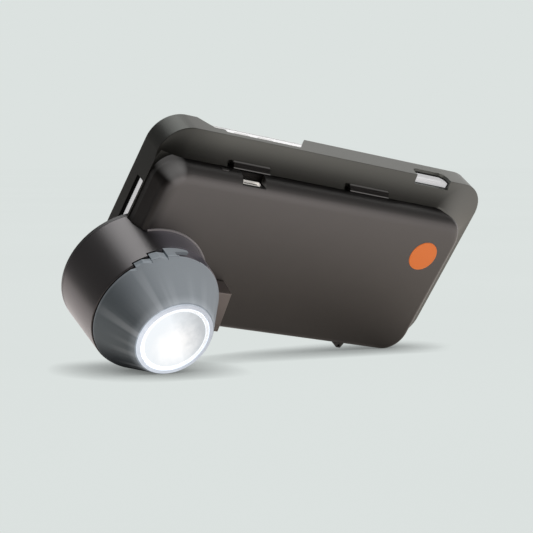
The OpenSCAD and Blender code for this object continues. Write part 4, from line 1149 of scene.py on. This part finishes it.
def make_shell():
    obj = loft("shell", shell_rings())
    room = 0.4
    carve(obj,
          loft("pocket", [(*inset(PHONE_LO, PHONE_HI, -room), PHONE_CORNER_R + room, d)
                          for d in (52.0, LINER_FRONT)]),
          loft("bed", [((SHELL_LO[0] - BEYOND, SHELL_LO[1] - BEYOND), (BOX_HI[0] + FIT, BOX_HI[1] + FIT),
                        BOX_CORNER_R + FIT, d, CREASE_WIDE) for d in (BOX_BACK, 25.0)]),
          prism("head_cut", circle(0, 0, HEAD_REAR_R + 0.2, 256), "z", PHONE_BACK + 0.1, 20))
    for x0, x1 in CLIPS:
        carve(obj, block("clip_cut", (x0 - CLIP_ROOM, BOX_HI[1] + 0.1), (x1 + FIT, BOX_HI[1] + 2.0),
                         BOX_BACK - 0.1, 20))
    keys = [(2.5, 45.0), (3.5, 44.0), (7.9, 38.8), (11.9, 38.8), (11.9, 37.4), (40.3, 37.4),
            (45.2, 44.0), (46.2, 45.0)]
    power = (POWER[0] - POWER_ROOM, 35.4, POWER[1] + POWER_ROOM, 43.0)
    for name, shape, radius, axis, start, end in (
            ("keys", keys, [0, 0, 0.8, 0.3, 0.5, 1.6, 0, 0], "y", 50.6, 56.6),
            ("window", rectangle(*FAR_WINDOW), 2.4, "y", 49.3, 58.4),
            ("end_slot", rectangle(*END_SLOT), 0.4, "x", -16.0, PHONE_LO[0]),
            ("power_slot", rectangle(*power), 1.0, "x", -16.0, PHONE_LO[0]),
            ("plug_slot", rectangle(*PLUG_SLOT), 1.0, "x", PHONE_HI[0], 124)):
        carve(obj, prism(name, fillet(shape, radius), axis, start, end))
    soften(obj, 0.12, 2, 34)
    piece(obj, "case", SHELL, "shell_grey", "phone_shell", angle=30)


# Phone

def make_phone():
    edge = 0.7
    front = PHONE_FRONT - 0.6
    size = (PHONE_LO, PHONE_HI, PHONE_CORNER_R)
    back = round_rim(*size, PHONE_BACK, edge, 5, 1)
    obj = loft("phone", round_rim(*size, front, edge, 5, -1) + back[::-1])
    wall = 2.2
    power = ((POWER[0] + POWER[1]) / 2, PHONE_MIDDLE, POWER[1] - POWER[0], 2.2)
    carve(obj,
          loft("hollow", [(*inset(PHONE_LO, PHONE_HI, wall), PHONE_CORNER_R - wall, d)
                          for d in (50.0, PHONE_BACK + 1.2)]),
          prism("camera", circle(0, 0, 4.3, 96), "z", PHONE_BACK + 0.6, 30))
    for _, _, x, long, _, _, wide in KEYS:
        shape = centred(x, PHONE_MIDDLE, long, wide, KEY_ROOM)
        carve(obj, prism("key_cut", fillet(shape, min(long, wide) / 2), "y", 49.1, 56.0))
    carve(obj,
          prism("power_cut", fillet(centred(*power, KEY_ROOM), 1.1), "x", -14.0, -6.7),
          prism("jack_cut", fillet(centred(21.2, PHONE_MIDDLE, 8.0, 2.6), 1.2), "x", 114.3, 121.0))
    piece(obj, "phone", SILVER, "phone_silver", "phone_frame", angle=30)

    rim = ((0.45, PHONE_FRONT), (0.22, PHONE_FRONT - 0.06), (0.1, PHONE_FRONT - 0.3), (0.1, front))
    glass = loft("glass", [(*inset(PHONE_LO, PHONE_HI, d), PHONE_CORNER_R - d, depth) for d, depth in rim])
    piece(glass, "phone", SCREEN, "phone_black_glass", "phone_glass")

    for node, body, x, long, wide, shift, _ in KEYS:
        shape = centred(x, PHONE_MIDDLE + shift, long, wide)
        key = prism(node + "_look", fillet(shape, min(long, wide) / 2 - 0.05), "y", 49.6, 50.95)
        soften(key, 0.12, 3, 50)
        piece(key, body, KEY, "key_silver", node)
    key = prism("power_look", fillet(centred(*power), 1.05), "x", -8.3, -7.3)
    soften(key, 0.08, 3, 50)
    piece(key, "power_key", KEY, "key_silver", "power_button")


make_cone()
make_contact()
make_head()
make_box()
make_box_details()
make_slider()
make_clips()
make_shell()
make_phone()

# The pieces that stay as they were built take a finish by their slot
slots = {row["node"]: row["material_slot"] for row in frame["record"]["subparts"]}
for name, obj in frame["nodes"].items():
    finish = INNER.get(slots[name])
    if finish:
        obj.data.materials.clear()
        obj.data.materials.append(finish)


# Studio

# Colours of the floor: as it is seen, and as the object mirrors it, close by and further off
PALE = (0.7157, 0.7605, 0.7454)
WARM = (0.8, 0.72, 0.65)
BLUSH = (0.8, 0.74, 0.725)
# Way to the soft panel, in the row frame
PANEL = (0.52, 0.47, 0.71)
# Camera, in the instrument's axes
CAMERA_AT = (-314.07, 244.89, 400.0)
CAMERA_RIGHT = (0.79681426, 0.41713741, 0.43713088)
CAMERA_AHEAD = (0.59032041, -0.38313038, -0.71044558)
CAMERA_LENS = 129.28


def make_world():
    """What the object sees: a soft panel behind and above, a dim room, dark on the left."""
    world = bpy.data.worlds.new("studio")
    scene.world = world
    world.use_nodes = True
    g = Graph(world.node_tree)
    g.nodes.clear()
    way = g.node("TexCoord").outputs["Generated"]
    x, y, z = g.split(way)
    panel = g.ease(g.vector("DOT_PRODUCT", way, PANEL), 0.6, 0.96, 0.0, 1.25)
    room = g.ease(y, -0.1, 0.6, 0.05, 0.7)
    top = g.product(g.ease(z, 0.6, 1.0, 0.0, 0.9), g.ease(y, -0.3, 0.25, 0.0, 1.0))
    left = g.ease(x, -0.75, 0.1, 0.25, 1.0)
    total = g.math("MAXIMUM", g.math("MAXIMUM", panel, room), top)
    light = g.node("Background", Color=(1.0, 0.98, 0.96, 1.0))
    g.link(g.product(total, left), light.inputs["Strength"])
    seen = g.node("Background", Color=(*PALE, 1.0))
    mix = g.node("MixShader")
    path = g.node("LightPath").outputs
    g.link(g.math("MAXIMUM", path["Is Camera Ray"], path["Is Transmission Ray"]), mix.inputs[0])
    g.link(light.outputs[0], mix.inputs[1])
    g.link(seen.outputs[0], mix.inputs[2])
    g.link(mix.outputs[0], g.node("OutputWorld").inputs["Surface"])


def make_floor(level):
    """Pale floor with a soft shadow; the object mirrors it warm, and darker in front and beside."""
    half = 6.0
    mesh = bpy.data.meshes.new("floor")
    corners = [(x, y, level) for x, y in rectangle(-half, -half, half, half)]
    mesh.from_pydata(corners, [], [(0, 1, 2, 3)])
    floor = add("floor", mesh)
    material = bpy.data.materials.new("floor_pale")
    material.use_nodes = True
    g = Graph(material.node_tree)
    g.nodes.clear()
    where = g.node("TexCoord").outputs["Object"]
    tone = g.span(g.noise(where, 3.0), 0.3, 0.7, 0.985, 1.0)
    path = g.node("LightPath").outputs
    contact = g.node("AmbientOcclusion", Distance=0.016)
    seen = g.product(g.span(contact.outputs["AO"], 0.0, 1.0, 0.2, 1.0), tone)
    around = g.node("AmbientOcclusion", Distance=0.07)
    for node in (contact, around):
        node.samples = 8
    x, y, _ = g.split(where)
    far = g.ease(g.off(y, 0.01), 0.005, 0.055, 0.0, 1.0)
    beside = g.math("ADD", x, g.span(y, -0.02, 0.06, 0.0, 0.17))
    shadow = around.outputs["AO"]
    mirrored = g.math("MAXIMUM", path["Is Glossy Ray"], path["Is Transmission Ray"])
    sent = g.product(g.span(far, 0.0, 1.0, 2.05, 2.5), shadow, g.span(shadow, 0.0, 1.0, 0.25, 1.0),
                     g.span(mirrored, 0.0, 1.0, 0.36, 1.0), g.ease(y, -0.26, -0.07, 0.05, 1.0),
                     g.ease(beside, -0.12, 0.03, 0.25, 1.0), g.ease(x, 0.08, 0.17, 1.0, 0.7),
                     g.ease(y, 0.04, 0.1, 1.0, 0.8))
    painted_glow = g.node("Emission")
    camera = path["Is Camera Ray"]
    g.link(g.mix(camera, g.mix(far, WARM, BLUSH), PALE), painted_glow.inputs["Color"])
    strength = g.math("ADD", g.product(seen, camera), g.product(sent, g.math("SUBTRACT", 1.0, camera)))
    g.link(strength, painted_glow.inputs["Strength"])
    g.link(painted_glow.outputs[0], g.node("OutputMaterial").inputs["Surface"])
    mesh.materials.append(material)


def make_camera():
    data = bpy.data.cameras.new("camera")
    data.sensor_width = 36.0
    data.lens = CAMERA_LENS
    data.clip_end = 50.0
    camera = add("camera", data)
    scene.camera = camera
    turn = LYING.to_3x3() * (1 / MM)
    right = turn @ Vector(CAMERA_RIGHT)
    ahead = turn @ Vector(CAMERA_AHEAD)
    matrix = Matrix((right, right.cross(ahead), -ahead)).transposed().to_4x4()
    matrix.translation = LYING @ Vector(CAMERA_AT)
    camera.matrix_world = matrix


def make_lamp(target):
    """One soft lamp overhead."""
    data = bpy.data.lights.new("overhead", "AREA")
    data.shape = "RECTANGLE"
    data.size = 0.7
    data.size_y = 0.5
    data.energy = 2.4
    lamp = add("overhead", data)
    lamp.location = (0.0, 0.25, 0.8)
    lamp.rotation_euler = (target - lamp.location).to_track_quat("-Z", "Y").to_euler()


low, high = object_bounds()
make_world()
make_floor(low[2] - 0.02 * MM)
make_camera()
make_lamp((Vector(low) + Vector(high)) / 2)
scene.view_settings.view_transform = "Standard"
